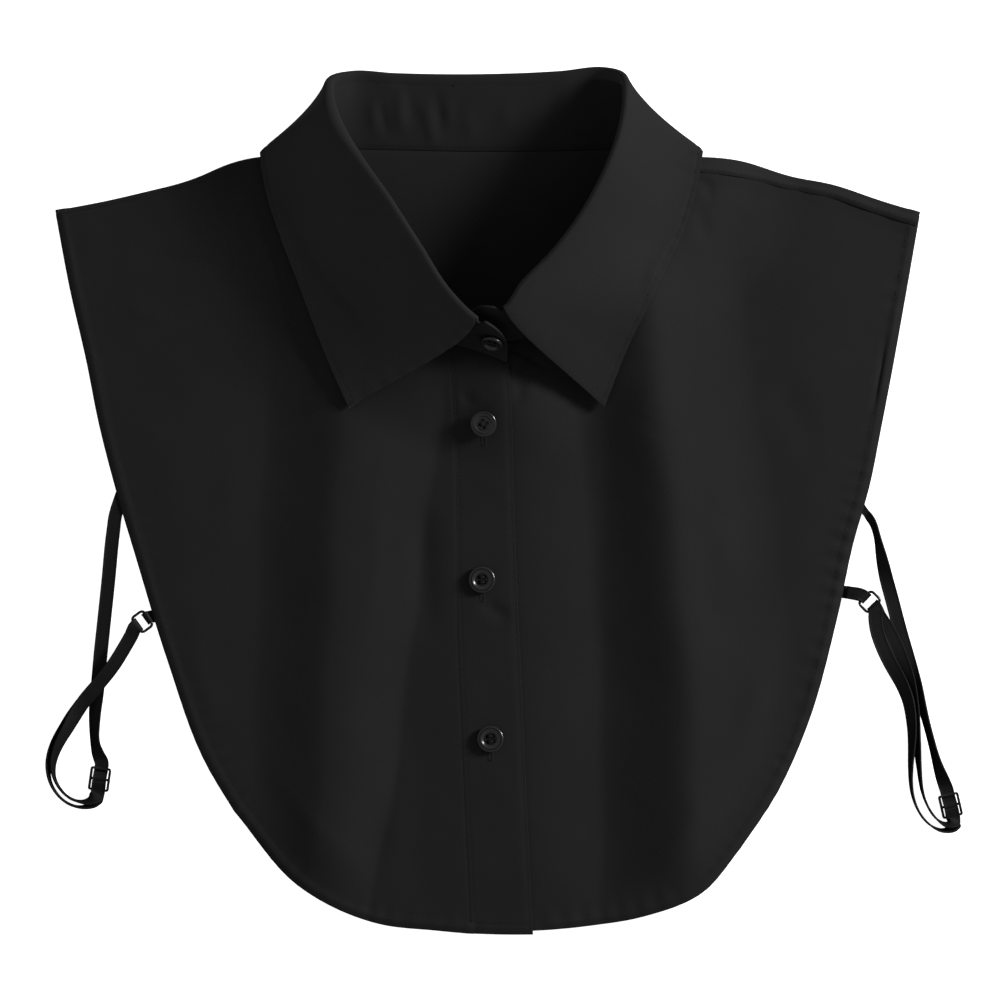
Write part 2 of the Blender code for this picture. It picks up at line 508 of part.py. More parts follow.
# ------------------------------------------------------------------ collar
def collar_stand():
    """The band round the neck, with rounded ends that overlap at the throat."""
    sections = collar_sections(0, len(COLLAR) - 1, finer=dict.fromkeys((0, len(COLLAR) - 2), END_SPANS))
    up, _ = collar_frames(sections)
    fold, foot = sections[:, :3], sections[:, 3:6]
    run = np.concatenate([[0], np.cumsum(np.linalg.norm(np.diff(fold, axis=0), axis=1))])
    from_end = np.minimum(run, run[-1] - run)
    short = np.maximum(STAND_END_RADIUS - from_end, 0)
    rounding = STAND_END_RADIUS - np.sqrt(np.maximum(STAND_END_RADIUS**2 - short**2, 0))
    left_half = np.arange(len(run)) < len(run) // 2
    corner = np.where(left_half, run[END_SPANS], run[-1] - run[-1 - END_SPANS])
    under_leaf = ease((from_end - corner + STAND_STEP_BEFORE) / STAND_STEP_WIDTH)
    drop = STAND_BARE + (STAND_UNDER_LEAF - STAND_BARE) * under_leaf + rounding
    top = fold - up * drop[:, None]
    shares = np.linspace(0, 1, STAND_SPANS + 1)[:, None, None]
    return cloth("collar_stand", [foot * (1 - shares) + top * shares], INTERLINED)


def collar_leaf():
    """The turned-down collar: up from the stand, round the fold and down to its edge and points."""
    at_shoulders = dict.fromkeys((LEFT_NECK - 1, RIGHT_NECK), SHOULDER_SPANS)
    sections = collar_sections(LEFT_CORNER, RIGHT_CORNER, finer=at_shoulders)
    up, out = collar_frames(sections)
    fold, edge, spring = sections[:, :3], sections[:, 6:9].copy(), np.radians(sections[:, 9])
    centre = fold - up * ROLL_RADIUS + out * ROLL_RADIUS
    rows = [fold - up * (STAND_UNDER_LEAF - SEAM)]
    for share in np.linspace(0, 1, 5):
        turn = math.pi + (spring - math.pi) * share
        rows.append(centre + ROLL_RADIUS * (np.cos(turn)[:, None] * out + np.sin(turn)[:, None] * up))
    start = rows[-1]
    heading = np.sin(spring)[:, None] * out - np.cos(spring)[:, None] * up
    count = len(sections)
    extra = SHOULDER_SPANS - COLLAR_SPANS_PER_ROW
    neck_left = (LEFT_NECK - LEFT_CORNER) * COLLAR_SPANS_PER_ROW + extra
    neck_right = (RIGHT_NECK - LEFT_CORNER) * COLLAR_SPANS_PER_ROW + extra
    index = np.arange(count)
    on_front = (index < neck_left) | (index > neck_right)
    behind = (index > neck_left) & (index < neck_right)
    is_left = index < count // 2

    def front_top(plan):
        level = np.where(is_left, over_level(plan), front_level(plan))
        return level + CLOTH + LEAF_CLEAR + INTERLINED / 2

    edge[:, 2] = np.where(on_front, front_top(edge[:, :2]), edge[:, 2])
    reach = np.linalg.norm(edge - start, axis=1)[:, None]
    flat = unit((edge - start) * [1, 1, 0]) - np.where(on_front, LEAF_EDGE_DIP, 0)[:, None] * [0, 0, 1]
    inside_neck = back_neck[:, 1].min()
    for s in np.linspace(0, 1, LEAF_SPANS + 1)[1:]:
        point = ((2 * s**3 - 3 * s**2 + 1) * start + (s**3 - 2 * s**2 + s) * reach * LEAF_FALL * heading
                 + (3 * s**2 - 2 * s**3) * edge + (s**3 - s**2) * reach * flat)
        low = front_top(point[:, :2])
        high = back_level(point[:, :2]) - SEAM - INTERLINED / 2
        z = np.where(on_front, np.maximum(point[:, 2], low), point[:, 2])
        z = np.where(behind & (point[:, 1] < inside_neck), np.minimum(z, np.maximum(high, INTERLINED / 2)), z)
        point[:, 2] = np.maximum(z, INTERLINED / 2)
        rows.append(point)
    return cloth("collar_leaf", [np.array(rows)], INTERLINED)


# ------------------------------------------------------------------ buttons
def button(name, place, facing, diameter=BUTTON_DIAMETER):
    """A turned button with a raised rim, a dished middle and four holes."""
    bm = bmesh.new()
    radius, half = diameter / 2, BUTTON_THICKNESS / 2
    profile = [(0, -half), (radius * 0.72, -half), (radius, 0), (radius * 0.93, half),
               (radius * 0.72, half), (radius * 0.56, half * 0.25), (0, half * 0.25)]
    verts = [bm.verts.new((r * MM, 0, z * MM)) for r, z in profile]
    edges = [bm.edges.new(pair) for pair in zip(verts, verts[1:])]
    bmesh.ops.spin(bm, geom=verts + edges, cent=(0, 0, 0), axis=(0, 0, 1), steps=20,
                   angle=2 * math.pi, use_merge=True)
    bmesh.ops.remove_doubles(bm, verts=bm.verts, dist=0.01 * MM)
    bmesh.ops.recalc_face_normals(bm, faces=bm.faces)
    mesh = bpy.data.meshes.new(name)
    bm.to_mesh(mesh)
    bm.free()
    obj = link(name, mesh, PLASTIC)
    bm = bmesh.new()
    for i in range(4):
        turn = math.radians(45 + 90 * i)
        made = bmesh.ops.create_cone(bm, cap_ends=True, segments=6, radius1=HOLE_RADIUS * MM,
                                     radius2=HOLE_RADIUS * MM, depth=3 * BUTTON_THICKNESS * MM)
        place_in_button = (HOLE_FROM_MIDDLE * math.cos(turn) * MM, HOLE_FROM_MIDDLE * math.sin(turn) * MM, 0)
        bmesh.ops.translate(bm, verts=made["verts"], vec=place_in_button)
    holes = bpy.data.meshes.new(name + "_holes")
    bm.to_mesh(holes)
    bm.free()
    cutter = link(name + "_holes", holes, PLASTIC)
    cutter.hide_render = True
    cutter.display_type = "WIRE"
    cutter.parent = obj
    pierced = obj.modifiers.new("holes", "BOOLEAN")
    pierced.object = cutter
    pierced.operation = "DIFFERENCE"
    obj.location = [value * MM for value in place]
    obj.rotation_mode = "QUATERNION"
    obj.rotation_quaternion = Vector(facing).to_track_quat("Z", "Y")
    return obj


def buttons():
    """Three buttons on the placket, and one on the outer face of the stand's over end."""
    for number, (x, y) in enumerate(BUTTONS, 1):
        reach = BUTTON_DIAMETER / 3
        around = np.array([(x, y), (x + reach, y), (x - reach, y), (x, y + reach), (x, y - reach)])
        z = over_level(around) + CLOTH
        facing = np.array([(z[2] - z[1]) / (2 * reach), (z[4] - z[3]) / (2 * reach), 1])
        button(f"button_{number}", (x, y, z.max() + SEAM + BUTTON_THICKNESS / 2), facing)
    middle = 2
    sections = collar_sections(0, LEFT_CORNER, 2 * middle)
    _, out = collar_frames(sections)
    centre = (sections[middle, :3] + sections[middle, 3:6]) / 2
    place = centre + out[middle] * (INTERLINED / 2 + SEAM + BUTTON_THICKNESS / 2)
    button("collar_button", place, out[middle], COLLAR_BUTTON_DIAMETER)


# ------------------------------------------------------------------ straps
def spaced(route):
    """Shares of a route at each of its rows, and between rows that lie far apart."""
    gaps = np.linalg.norm(np.diff(np.array(route, float)[:, :2], axis=0), axis=1)
    at = np.concatenate([[0], np.cumsum(gaps)]) / gaps.sum()
    shares = []
    for low, high, gap in zip(at, at[1:], gaps):
        shares.extend(np.linspace(low, high, 1 + int(np.ceil(gap / ELASTIC_STEP)))[:-1])
    return shares + [1.0]


def laid(route):
    """A route's rows made denser, with the direction of the strap's width and of its face at each."""
    rows = smooth(route, 0, shares=spaced(route))
    ahead = unit(np.gradient(rows[:, :2], axis=0))
    level = np.column_stack([ahead[:, 1], -ahead[:, 0], np.zeros(len(rows))])
    turn = np.radians(rows[:, 3])[:, None]
    up = np.array([0, 0, 1.0])
    return rows, level * np.cos(turn) + up * np.sin(turn), up * np.cos(turn) - level * np.sin(turn)


def rest_height(rows, width, half_thick):
    """Height of a turned strap's middle where its lowest corner is on the table, plus the row's lift."""
    turn = np.radians(rows[:, 3])
    return abs(np.sin(turn)) * width / 2 + abs(np.cos(turn)) * half_thick + rows[:, 2] + ELASTIC_REST


def main_run(route):
    """The strap's single run: for each row its middle, the direction of its width, and the width."""
    rows, lean, _ = laid(route)
    middle = np.column_stack([rows[:, :2], rest_height(rows, rows[:, 4], CLOTH / 2)])
    return list(zip(middle, lean, rows[:, 4]))


def pair_runs(route):
    """The strap's two runs between its slider and its ring, out and back."""
    rows, lean, face = laid(route)
    gap, apart = rows[:, 4:5], rows[:, 5:6]
    height = rest_height(rows, ELASTIC_WIDTH, CLOTH / 2 + rows[:, 4])
    middle = np.column_stack([rows[:, :2], height])
    out = middle - face * gap + lean * apart
    back = middle + face * gap - lean * apart
    widths = np.full(len(rows), ELASTIC_WIDTH)
    return list(zip(out, lean, widths)), list(zip(back, lean, widths))[::-1]


def across_bar(place, heading, run, width=ELASTIC_WIDTH):
    """Rows from pairs (distance along the heading, height), with the width level, square to the heading."""
    turn = math.radians(heading)
    lean = np.array([math.sin(turn), -math.cos(turn), 0])
    return [(np.array([place[0] + s * math.cos(turn), place[1] + s * math.sin(turn), z]), lean, width)
            for s, z in run]


def round_bar(first, last, steps=4):
    """(distance, height) pairs round the ring's wire, from one angle below it to another."""
    radius = RING_WIRE / 2 + SEAM + CLOTH / 2
    return [(radius * math.sin(a), RING_HEIGHT - radius * math.cos(a))
            for a in np.radians(np.linspace(first, last, steps + 1))]


def ribbon(rows, start=None):
    """Edge points of a strip along its rows. The width's direction keeps its sense from row to row."""
    sheet = []
    before = rows[0][1]
    for middle, lean, width in rows:
        before = lean if lean @ before > 0 else -lean
        sheet.append([middle - before * width / 2, middle + before * width / 2])
    if start:
        ends = np.array([(x, y, CLOTH / 2 + ELASTIC_REST) for x, y in start])
        near = np.linalg.norm(ends[0] - sheet[0][0]) + np.linalg.norm(ends[1] - sheet[0][1])
        far = np.linalg.norm(ends[1] - sheet[0][0]) + np.linalg.norm(ends[0] - sheet[0][1])
        sheet.insert(0, list(ends if near < far else ends[::-1]))
    return np.array(sheet)


def strap(side):
    """The elastic, slider, ring and tab of one side."""
    spec = STRAPS[side]
    ring_x, ring_y, ring_heading = spec["ring"]
    turn = math.radians(ring_heading)
    reach = np.array([math.cos(turn), math.sin(turn)]) * (RING_SHORT - RING_WIRE) / 2
    far_bar, near_bar = (ring_x, ring_y) + reach, (ring_x, ring_y) - reach
    slider_x, slider_y, slider_heading = spec["slider"]
    way = math.radians(slider_heading)
    enter, leave = [(slider_x + s * math.cos(way), slider_y + s * math.sin(way))
                    for s in (SLIDER_RUN[0][0], SLIDER_END[0][0] + PAIR_START)]
    turn_at_ring = spec["pair"][-1][3]
    main = spec["main"] + [(*enter, 0, 0, ELASTIC_WIDTH)]
    pair = [(*leave, 0, 0, PAIR_GAP, 0)] + spec["pair"] + [(*far_bar, 0, turn_at_ring, RING_GAP, 0)]
    out, back = pair_runs(pair)
    turn_back = across_bar(far_bar, ring_heading + 180, round_bar(0, 180))[1:-1]
    rows = (main_run(main) + across_bar((slider_x, slider_y), slider_heading, SLIDER_RUN)[1:] + out
            + (turn_back[::-1] if turn_at_ring else turn_back)
            + back + across_bar((slider_x, slider_y), slider_heading, SLIDER_END))
    cloth(f"elastic_{side}", [ribbon(rows, spec["sewn"])], CLOTH, ELASTIC)

    lower = [(*point, 0, 0, TAB_WIDTH) for point in spec["tab_line"] + [tuple(near_bar)]]
    tab = main_run(lower)[:-1] + across_bar(near_bar, ring_heading, round_bar(0, 180), TAB_WIDTH)
    end_lean = tab[-1][1] if side == "left" else tab[0][1]
    tab.append((np.array(spec["tab_end"]), end_lean, TAB_WIDTH))
    cloth(f"tab_{side}", [ribbon(tab, spec["tab"])], CLOTH, ELASTIC)
    ring(f"ring_{side}", (ring_x, ring_y, RING_HEIGHT), ring_heading)
    slider(f"slider_{side}", (slider_x, slider_y, SLIDER_HEIGHT), slider_heading)


def ring(name, place, turn):
    """A ring of round wire bent to a rounded rectangle."""
    curve = bpy.data.curves.new(name, "CURVE")
    curve.dimensions = "3D"
    curve.bevel_depth = RING_WIRE / 2 * MM
    curve.bevel_resolution = 1
    half_x, half_y = (RING_SHORT - RING_WIRE) / 2, (RING_LONG - RING_WIRE) / 2
    points = []
    for sign_x, sign_y, start in ((1, 1, 0), (-1, 1, 90), (-1, -1, 180), (1, -1, 270)):
        for a in np.radians(np.linspace(start, start + 90, 4)):
            points.append((sign_x * (half_x - RING_CORNER) + RING_CORNER * math.cos(a),
                           sign_y * (half_y - RING_CORNER) + RING_CORNER * math.sin(a)))
    spline = curve.splines.new("POLY")
    spline.points.add(len(points) - 1)
    for point, (x, y) in zip(spline.points, points):
        point.co = (x * MM, y * MM, 0, 1)
    spline.use_cyclic_u = True
    obj = link(name, curve, LACQUER)
    obj.location = [value * MM for value in place]
    obj.rotation_euler = (0, 0, math.radians(turn))
    return obj


def slider(name, place, turn):
    """A flat frame with a middle bar."""
    bm = bmesh.new()
    bmesh.ops.create_cube(bm, size=1)
    bmesh.ops.scale(bm, verts=bm.verts, vec=(SLIDER_LONG * MM, SLIDER_WIDE * MM, SLIDER_THICK * MM))
    corners = [e for e in bm.edges if abs(e.verts[0].co.z - e.verts[1].co.z) > 0.5 * MM]
    bmesh.ops.bevel(bm, geom=corners, offset=SLIDER_CORNER * MM, segments=2, profile=0.5, affect="EDGES",
                    material=-1)
    mesh = bpy.data.meshes.new(name)
    bm.to_mesh(mesh)
    bm.free()
    obj = link(name, mesh, LACQUER)
    bm = bmesh.new()
    window = (SLIDER_LONG - 3 * SLIDER_BAR) / 2
    for sign in (-1, 1):
        made = bmesh.ops.create_cube(bm, size=1)
        size = (window * MM, (SLIDER_WIDE - 2 * SLIDER_SIDE) * MM, 4 * SLIDER_THICK * MM)
        bmesh.ops.scale(bm, verts=made["verts"], vec=size)
        bmesh.ops.translate(bm, verts=made["verts"], vec=(sign * (window + SLIDER_BAR) / 2 * MM, 0, 0))
    holes = bpy.data.meshes.new(name + "_windows")
    bm.to_mesh(holes)
    bm.free()
    cutter = link(name + "_windows", holes, LACQUER)
    cutter.hide_render = True
    cutter.display_type = "WIRE"
    cutter.parent = obj
    pierced = obj.modifiers.new("windows", "BOOLEAN")
    pierced.object = cutter
    pierced.operation = "DIFFERENCE"
    obj.location = [value * MM for value in place]
    obj.rotation_euler = (0, 0, math.radians(turn))
    return obj


back_panel()
front_under()
front_over()
placket()
collar_stand()
collar_leaf()
buttons()
strap("left")
strap("right")
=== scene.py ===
"""Looks of a detachable shirt collar: a half shirt of black poplin, buttoned and laid flat.

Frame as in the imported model: X to the right, Y towards the neck, Z up from the table, origin under the middle
of the garment. Sizes and tables are in millimetres, and MM turns them to metres.
"""

import math

import bmesh
import bpy
import numpy as np
from mathutils import Matrix, Vector


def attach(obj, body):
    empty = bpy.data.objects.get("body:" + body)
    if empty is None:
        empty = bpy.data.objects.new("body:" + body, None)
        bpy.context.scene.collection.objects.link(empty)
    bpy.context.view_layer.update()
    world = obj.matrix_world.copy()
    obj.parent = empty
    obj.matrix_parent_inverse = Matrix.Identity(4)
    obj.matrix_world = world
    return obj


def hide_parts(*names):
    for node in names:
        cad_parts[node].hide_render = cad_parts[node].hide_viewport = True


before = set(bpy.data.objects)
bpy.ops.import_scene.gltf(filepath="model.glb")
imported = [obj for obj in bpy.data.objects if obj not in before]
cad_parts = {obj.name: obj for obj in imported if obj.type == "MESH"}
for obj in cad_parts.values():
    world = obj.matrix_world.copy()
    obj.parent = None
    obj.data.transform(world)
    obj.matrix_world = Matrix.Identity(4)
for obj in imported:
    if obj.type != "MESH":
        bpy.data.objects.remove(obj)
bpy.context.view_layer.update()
MM = 0.001

# ------------------------------------------------------------------ camera
# Straight above the table, far enough away for the collar to stand up without leaning outwards. The view is a
# square, so the lens and the height give its width at the level of the panels.
VIEW_MIDDLE, VIEW_WIDTH = (5.5, 0.2), 427.4
VIEW_HEIGHT, PANEL_LEVEL, SENSOR = 3000.0, 6.0, 36.0


def linked(name, data):
    """A new object of the data, in the scene."""
    obj = bpy.data.objects.new(name, data)
    bpy.context.scene.collection.objects.link(obj)
    return obj


camera_data = bpy.data.cameras.new("camera")
camera_data.sensor_width = SENSOR
camera_data.lens = SENSOR * (VIEW_HEIGHT - PANEL_LEVEL) / VIEW_WIDTH
camera_data.clip_end = 10.0
camera = linked("camera", camera_data)
camera.location = (VIEW_MIDDLE[0] * MM, VIEW_MIDDLE[1] * MM, VIEW_HEIGHT * MM)
bpy.context.scene.camera = camera

# ------------------------------------------------------------------ elastic straps
# Flat woven elastic, 6 mm wide, black. It is sewn into the armhole of the back, goes down through its slider,
# on to the ring and back, and its end is sewn round the slider's middle bar.
ELASTIC_WIDTH, ELASTIC_THICK, TAB_WIDTH = 6.0, 0.9, 5.4
ELASTIC_SPAN = 5.0  # longest stretch of a route between two of its points
ELASTIC_FINE = 1.0  # spacing of the finished strap's cross sections
ELASTIC_REST = 0.12  # the lowest corner of a turned strap stays this far off the table
LEAST_HALF_GAP = 1.08  # of the two runs, so that they do not touch
RING_LONG, RING_SHORT, RING_WIRE, RING_HEIGHT = 9.0, 7.3, 1.2, 1.98
LAYER_GAP, HALF_LAYER = 0.3, 0.5  # between two layers of elastic, and from a layer's middle to its face
BAR_STEPS = 8  # of the elastic's half turn round a bar
SAME_PLACE = 0.01  # points closer than this are one
# main: x, y, lift, turn about its own line, width
# pair: x, y, lift, turn, half the gap between the two faces, half the distance apart along the width
STRAPS = {
    "left": {
        "slider": (-165.9, -118.9, 262.0), "ring": (-147.7, -51.6, 216.0),
        "sewn": [(-157.6, 8.0), (-154.8, -2.0)], "tab": [(-141.2, -46.0), (-139.6, -51.6)],
        "tab_line": [(-143.4, -49.4)], "tab_end": (-144.4, -49.3, 3.2),
        "main": [(-159.4, -7.0, 0, 0, 5.8), (-160.6, -16.7, 0, 0, 6.0), (-162.2, -33.7, 0, 0, 6.0),
                 (-164.0, -50.8, 0, 0, 6.0), (-165.6, -65.8, 0, 0, 6.0), (-166.9, -80.7, 0, -8, 6.0),
                 (-168.0, -93.5, 0, -36, 6.0), (-167.6, -104.2, 0, -46, 6.0)],
        "pair": [(-168.6, -128.2, 0, -45, 1.2, 0), (-172.6, -129.6, 0, -80, 1.2, 0),
                 (-178.4, -128.4, 0, -90, 1.2, 0), (-183.0, -124.6, 0, -90, 1.2, 0),
                 (-186.2, -118.6, 0, -85, 1.1, 0), (-186.6, -112.0, 0, -72, 0.9, 0),
                 (-184.2, -104.2, 0, -54, 0.8, 0), (-180.2, -97.2, 0, -38, 0.7, 0),
                 (-176.6, -91.4, 0.4, -18, 0.7, 0), (-172.2, -85.2, 1.3, 0, 0.7, 0),
                 (-166.6, -78.6, 1.4, 0, 0.7, 0), (-160.2, -70.6, 1.3, 0, 0.7, 0),
                 (-155.6, -63.2, 0.5, 0, 0.8, 0), (-152.4, -57.6, 0.1, 0, 1.1, 0)],
    },
    "right": {
        "slider": (197.9, -130.2, 283.0), "ring": (163.3, -43.1, 315.0),
        "sewn": [(159.0, 1.0), (157.6, -4.0)], "tab": [(150.4, -35.4), (149.0, -41.6)],
        "tab_line": [(155.4, -39.4), (158.4, -40.0)], "tab_end": (153.4, -38.9, 2.0),
        "main": [(161.8, -5.0, 0, -6, 3.2), (164.6, -9.2, 0, -50, 4.4), (166.5, -15.2, 0, -66, 5.8),
                 (168.2, -23.0, 0, -46, 6.0), (170.2, -32.0, 0, -18, 6.0), (173.2, -43.0, 0, 0, 6.0),
                 (176.2, -54.5, 0, 0, 6.0), (179.5, -66.0, 0, 0, 6.0), (182.6, -77.0, 0, -24, 6.0),
                 (185.7, -88.0, 0, -56, 6.0), (188.9, -100.0, 0, -66, 6.0), (192.6, -113.4, 0, -50, 6.0)],
        "pair": [(198.6, -138.6, 0, -50, 1.3, 0), (195.0, -139.4, 0, -80, 1.5, 0),
                 (190.6, -137.2, 0, -90, 1.9, 0), (186.4, -132.0, 0, -90, 2.2, 0),
                 (183.6, -124.4, 0, -94, 2.2, 0), (182.6, -114.6, 0, -102, 1.9, 0),
                 (182.4, -104.2, 0, -116, 1.3, 0), (181.9, -94.4, 0.4, -130, 0.9, 0),
                 (180.6, -85.2, 0.9, -142, 0.8, 0.4), (178.2, -77.0, 1.3, -156, 0.8, 1.4),
                 (174.8, -69.2, 1.4, -172, 0.8, 2.4), (171.4, -61.6, 1.4, -180, 0.8, 2.8),
                 (168.4, -54.6, 0.9, -180, 1.0, 2.2), (166.6, -49.6, 0.3, -180, 1.2, 1.0)],
    },
}
# Distance along the slider and height: the run through it, and the sewn end on top of that
SLIDER_RUN = [(-6.4, 0.56), (-4.6, 0.56), (-3.7, 0.7), (-2.3, 1.8), (-0.9, 2.95), (0.0, 3.1), (0.9, 2.95),
              (2.3, 1.8), (3.7, 0.7), (4.6, 0.56), (5.8, 0.56)]
SLIDER_END = [(5.8, 2.9), (4.6, 3.15), (2.6, 3.9), (0.8, 4.4)]
PAIR_GAP, RING_GAP = 1.2, 1.4  # half the gap between the pair's two runs, at the slider and at the ring
PAIR_START = 0.4  # the pair begins this far past the slider
# Half of the elastic's cross section, from its left edge to its right one: across, up. The edges are corded.
ELASTIC_SECTION = [(-1, 0), (-0.98, 0.75), (-0.92, 1), (-0.84, 0.75), (-0.5, 0.72), (0, 0.76), (0.5, 0.72),
                   (0.84, 0.75), (0.92, 1), (0.98, 0.75), (1, 0)]


def blend(t):
    """Weights of a start, the slope there, an end and the slope there, a share t of the way between them."""
    return 2 * t**3 - 3 * t**2 + 1, t**3 - 2 * t**2 + t, 3 * t**2 - 2 * t**3, t**3 - t**2


def smooth(rows, count, plane=2, shares=None):
    """Points of a smooth line through the rows, evenly spaced or at the given shares of its length.

    The first `plane` columns of a row are its place, and the others change along with it.
    """
    rows = np.array(rows, float)
    gaps = np.maximum(np.linalg.norm(np.diff(rows[:, :plane], axis=0), axis=1), 1e-6)
    at = np.concatenate([[0], np.cumsum(gaps)])
    slopes = np.diff(rows, axis=0) / gaps[:, None]
    before, after = gaps[:-1, None], gaps[1:, None]
    inner = (slopes[:-1] * after + slopes[1:] * before) / (before + after)
    tangents = np.vstack([slopes[:1], inner, slopes[-1:]])
    shares = np.linspace(0, 1, count) if shares is None else np.array(shares)
    wanted = shares * at[-1]
    i = np.clip(np.searchsorted(at, wanted, side="right") - 1, 0, len(gaps) - 1)
    start, leaving, end, arriving = blend(((wanted - at[i]) / gaps[i])[:, None])
    gap = gaps[i][:, None]
    return (start * rows[i] + leaving * gap * tangents[i]
            + end * rows[i + 1] + arriving * gap * tangents[i + 1])


def unit(vectors):
    return vectors / np.maximum(np.linalg.norm(vectors, axis=-1, keepdims=True), 1e-9)


def run_of(line):
    """Distance along a line at each of its points."""
    return np.concatenate([[0], np.cumsum(np.linalg.norm(np.diff(line, axis=0), axis=1))])


def laid(route):
    """A route's rows made denser, with the direction of the strap's width and of its face at each."""
    gaps = np.linalg.norm(np.diff(np.array(route, float)[:, :2], axis=0), axis=1)
    at = np.concatenate([[0], np.cumsum(gaps)]) / gaps.sum()
    shares = [1.0]
    for low, high, gap in zip(at, at[1:], gaps):
        shares.extend(np.linspace(low, high, 1 + int(np.ceil(gap / ELASTIC_SPAN)))[:-1])
    rows = smooth(route, 0, shares=sorted(shares))
    ahead = unit(np.gradient(rows[:, :2], axis=0))
    level = np.column_stack([ahead[:, 1], -ahead[:, 0], np.zeros(len(rows))])
    turn = np.radians(rows[:, 3])[:, None]
    up = np.array([0, 0, 1.0])
    return rows, level * np.cos(turn) + up * np.sin(turn), up * np.cos(turn) - level * np.sin(turn)


def rest_height(rows, width, half_thick):
    """Height of a turned strap's middle where its lowest corner is on the table, plus the row's lift."""
    turn = np.radians(rows[:, 3])
    return abs(np.sin(turn)) * width / 2 + abs(np.cos(turn)) * half_thick + rows[:, 2] + ELASTIC_REST


def main_run(route):
    """A strap's single run as rows of its middle, the direction of its width, and the width."""
    rows, lean, _ = laid(route)
    height = rest_height(rows, rows[:, 4], HALF_LAYER)
    return np.column_stack([rows[:, :2], height, lean, rows[:, 4]])


def pair_runs(route):
    """The strap's two runs between its slider and its ring, out and back."""
    rows, lean, face = laid(route)
    gap, apart = np.maximum(rows[:, 4:5], LEAST_HALF_GAP), rows[:, 5:6]
    height = rest_height(rows, ELASTIC_WIDTH, HALF_LAYER + gap[:, 0])
    middle = np.column_stack([rows[:, :2], height])
    width = np.full(len(rows), ELASTIC_WIDTH)
    out = np.column_stack([middle - face * gap + lean * apart, lean, width])
    back = np.column_stack([middle + face * gap - lean * apart, lean, width])
    return out, back[::-1]


def toward(heading):
    """The plan direction of a heading in degrees."""
    turn = math.radians(heading)
    return np.array((math.cos(turn), math.sin(turn)))


def across_bar(place, heading, run, width=ELASTIC_WIDTH):
    """Rows from pairs (distance along the heading, height), with the width level, square to the heading."""
    ahead = toward(heading)
    return np.array([(*(place + s * ahead), z, ahead[1], -ahead[0], 0, width) for s, z in run])


def round_bar():
    """(distance, height) pairs round the far side of the ring's wire, from beneath it to above it."""
    radius = RING_WIRE / 2 + LAYER_GAP + HALF_LAYER
    return [(radius * math.sin(a), RING_HEIGHT - radius * math.cos(a))
            for a in np.radians(np.linspace(0, 180, BAR_STEPS + 1))]


def one_sense(rows):
    """The rows with the width's direction never turning over from one to the next."""
    rows = rows.copy()
    for i in range(1, len(rows)):
        if rows[i, 3:6] @ rows[i - 1, 3:6] < 0:
            rows[i, 3:6] *= -1
    return rows


def meshed(name, bm, rounded=True):
    """A new object of a bmesh, which is used up. Its faces are shaded smooth where it is rounded."""
    mesh = bpy.data.meshes.new(name)
    bm.to_mesh(mesh)
    bm.free()
    if rounded:
        mesh.shade_smooth()
    return linked(name, mesh)


def woven(name, sheets, closed=False):
    """An object made of grids of (rows, columns, x y z u v), in mm. u and v are the cloth's own flat measure.

    A closed grid's last column meets its first, and its two ends are filled.
    """
    bm = bmesh.new()
    flat = bm.loops.layers.uv.new("cloth")
    for sheet in sheets:
        rows, columns = sheet.shape[:2]
        made = bmesh.ops.create_grid(bm, x_segments=columns - 1, y_segments=rows - 1, size=1)["verts"]
        values = sheet.reshape(-1, 5)
        for vert, value in zip(made, values):
            vert.co = value[:3] * MM
        place = {vert: value[3:] for vert, value in zip(made, values)}
        for face in {face for vert in made for face in vert.link_faces}:
            for loop in face.loops:
                loop[flat].uv = place[loop.vert]
    bmesh.ops.remove_doubles(bm, verts=bm.verts, dist=SAME_PLACE * MM)
    if closed:
        bmesh.ops.holes_fill(bm, edges=[edge for edge in bm.edges if edge.is_boundary])
        bmesh.ops.recalc_face_normals(bm, faces=bm.faces)
    return meshed(name, bm)


def swept(name, rows):
    """Flat elastic along rows of middle, width direction and width, and the line of its middle in metres."""
    rows = one_sense(rows)
    count = int(run_of(rows[:, :3])[-1] / ELASTIC_FINE)
    rows = smooth(rows, count, plane=3)
    middle = rows[:, :3]
    ahead = unit(np.gradient(middle, axis=0))
    lean = unit(rows[:, 3:6] - ahead * (rows[:, 3:6] * ahead).sum(1, keepdims=True))
    face = np.cross(ahead, lean)
    half = np.array(ELASTIC_SECTION, float)
    around = np.vstack([half, half[-2:0:-1] * [1, -1], half[:1]])
    points = (middle[:, None] + lean[:, None] * around[None, :, :1] * rows[:, None, 6:7] / 2
              + face[:, None] * around[None, :, 1:] * ELASTIC_THICK / 2)
    u = np.broadcast_to(around[None, :, 0] * ELASTIC_WIDTH / 2, points.shape[:2])
    v = np.broadcast_to(run_of(middle)[:, None], points.shape[:2])
    return woven(name, [np.dstack([points, u, v])], closed=True), middle * MM


def start_rows(sewn, rows, width):
    """The rows with one more in front, where the strap's end lies across the edge that it is sewn to."""
    ends = np.array([(x, y, HALF_LAYER + ELASTIC_REST) for x, y in sewn])
    across = ends[1] - ends[0]
    first = np.concatenate([ends.mean(0), unit(across), [min(np.linalg.norm(across), width)]])
    return np.vstack([first, rows])


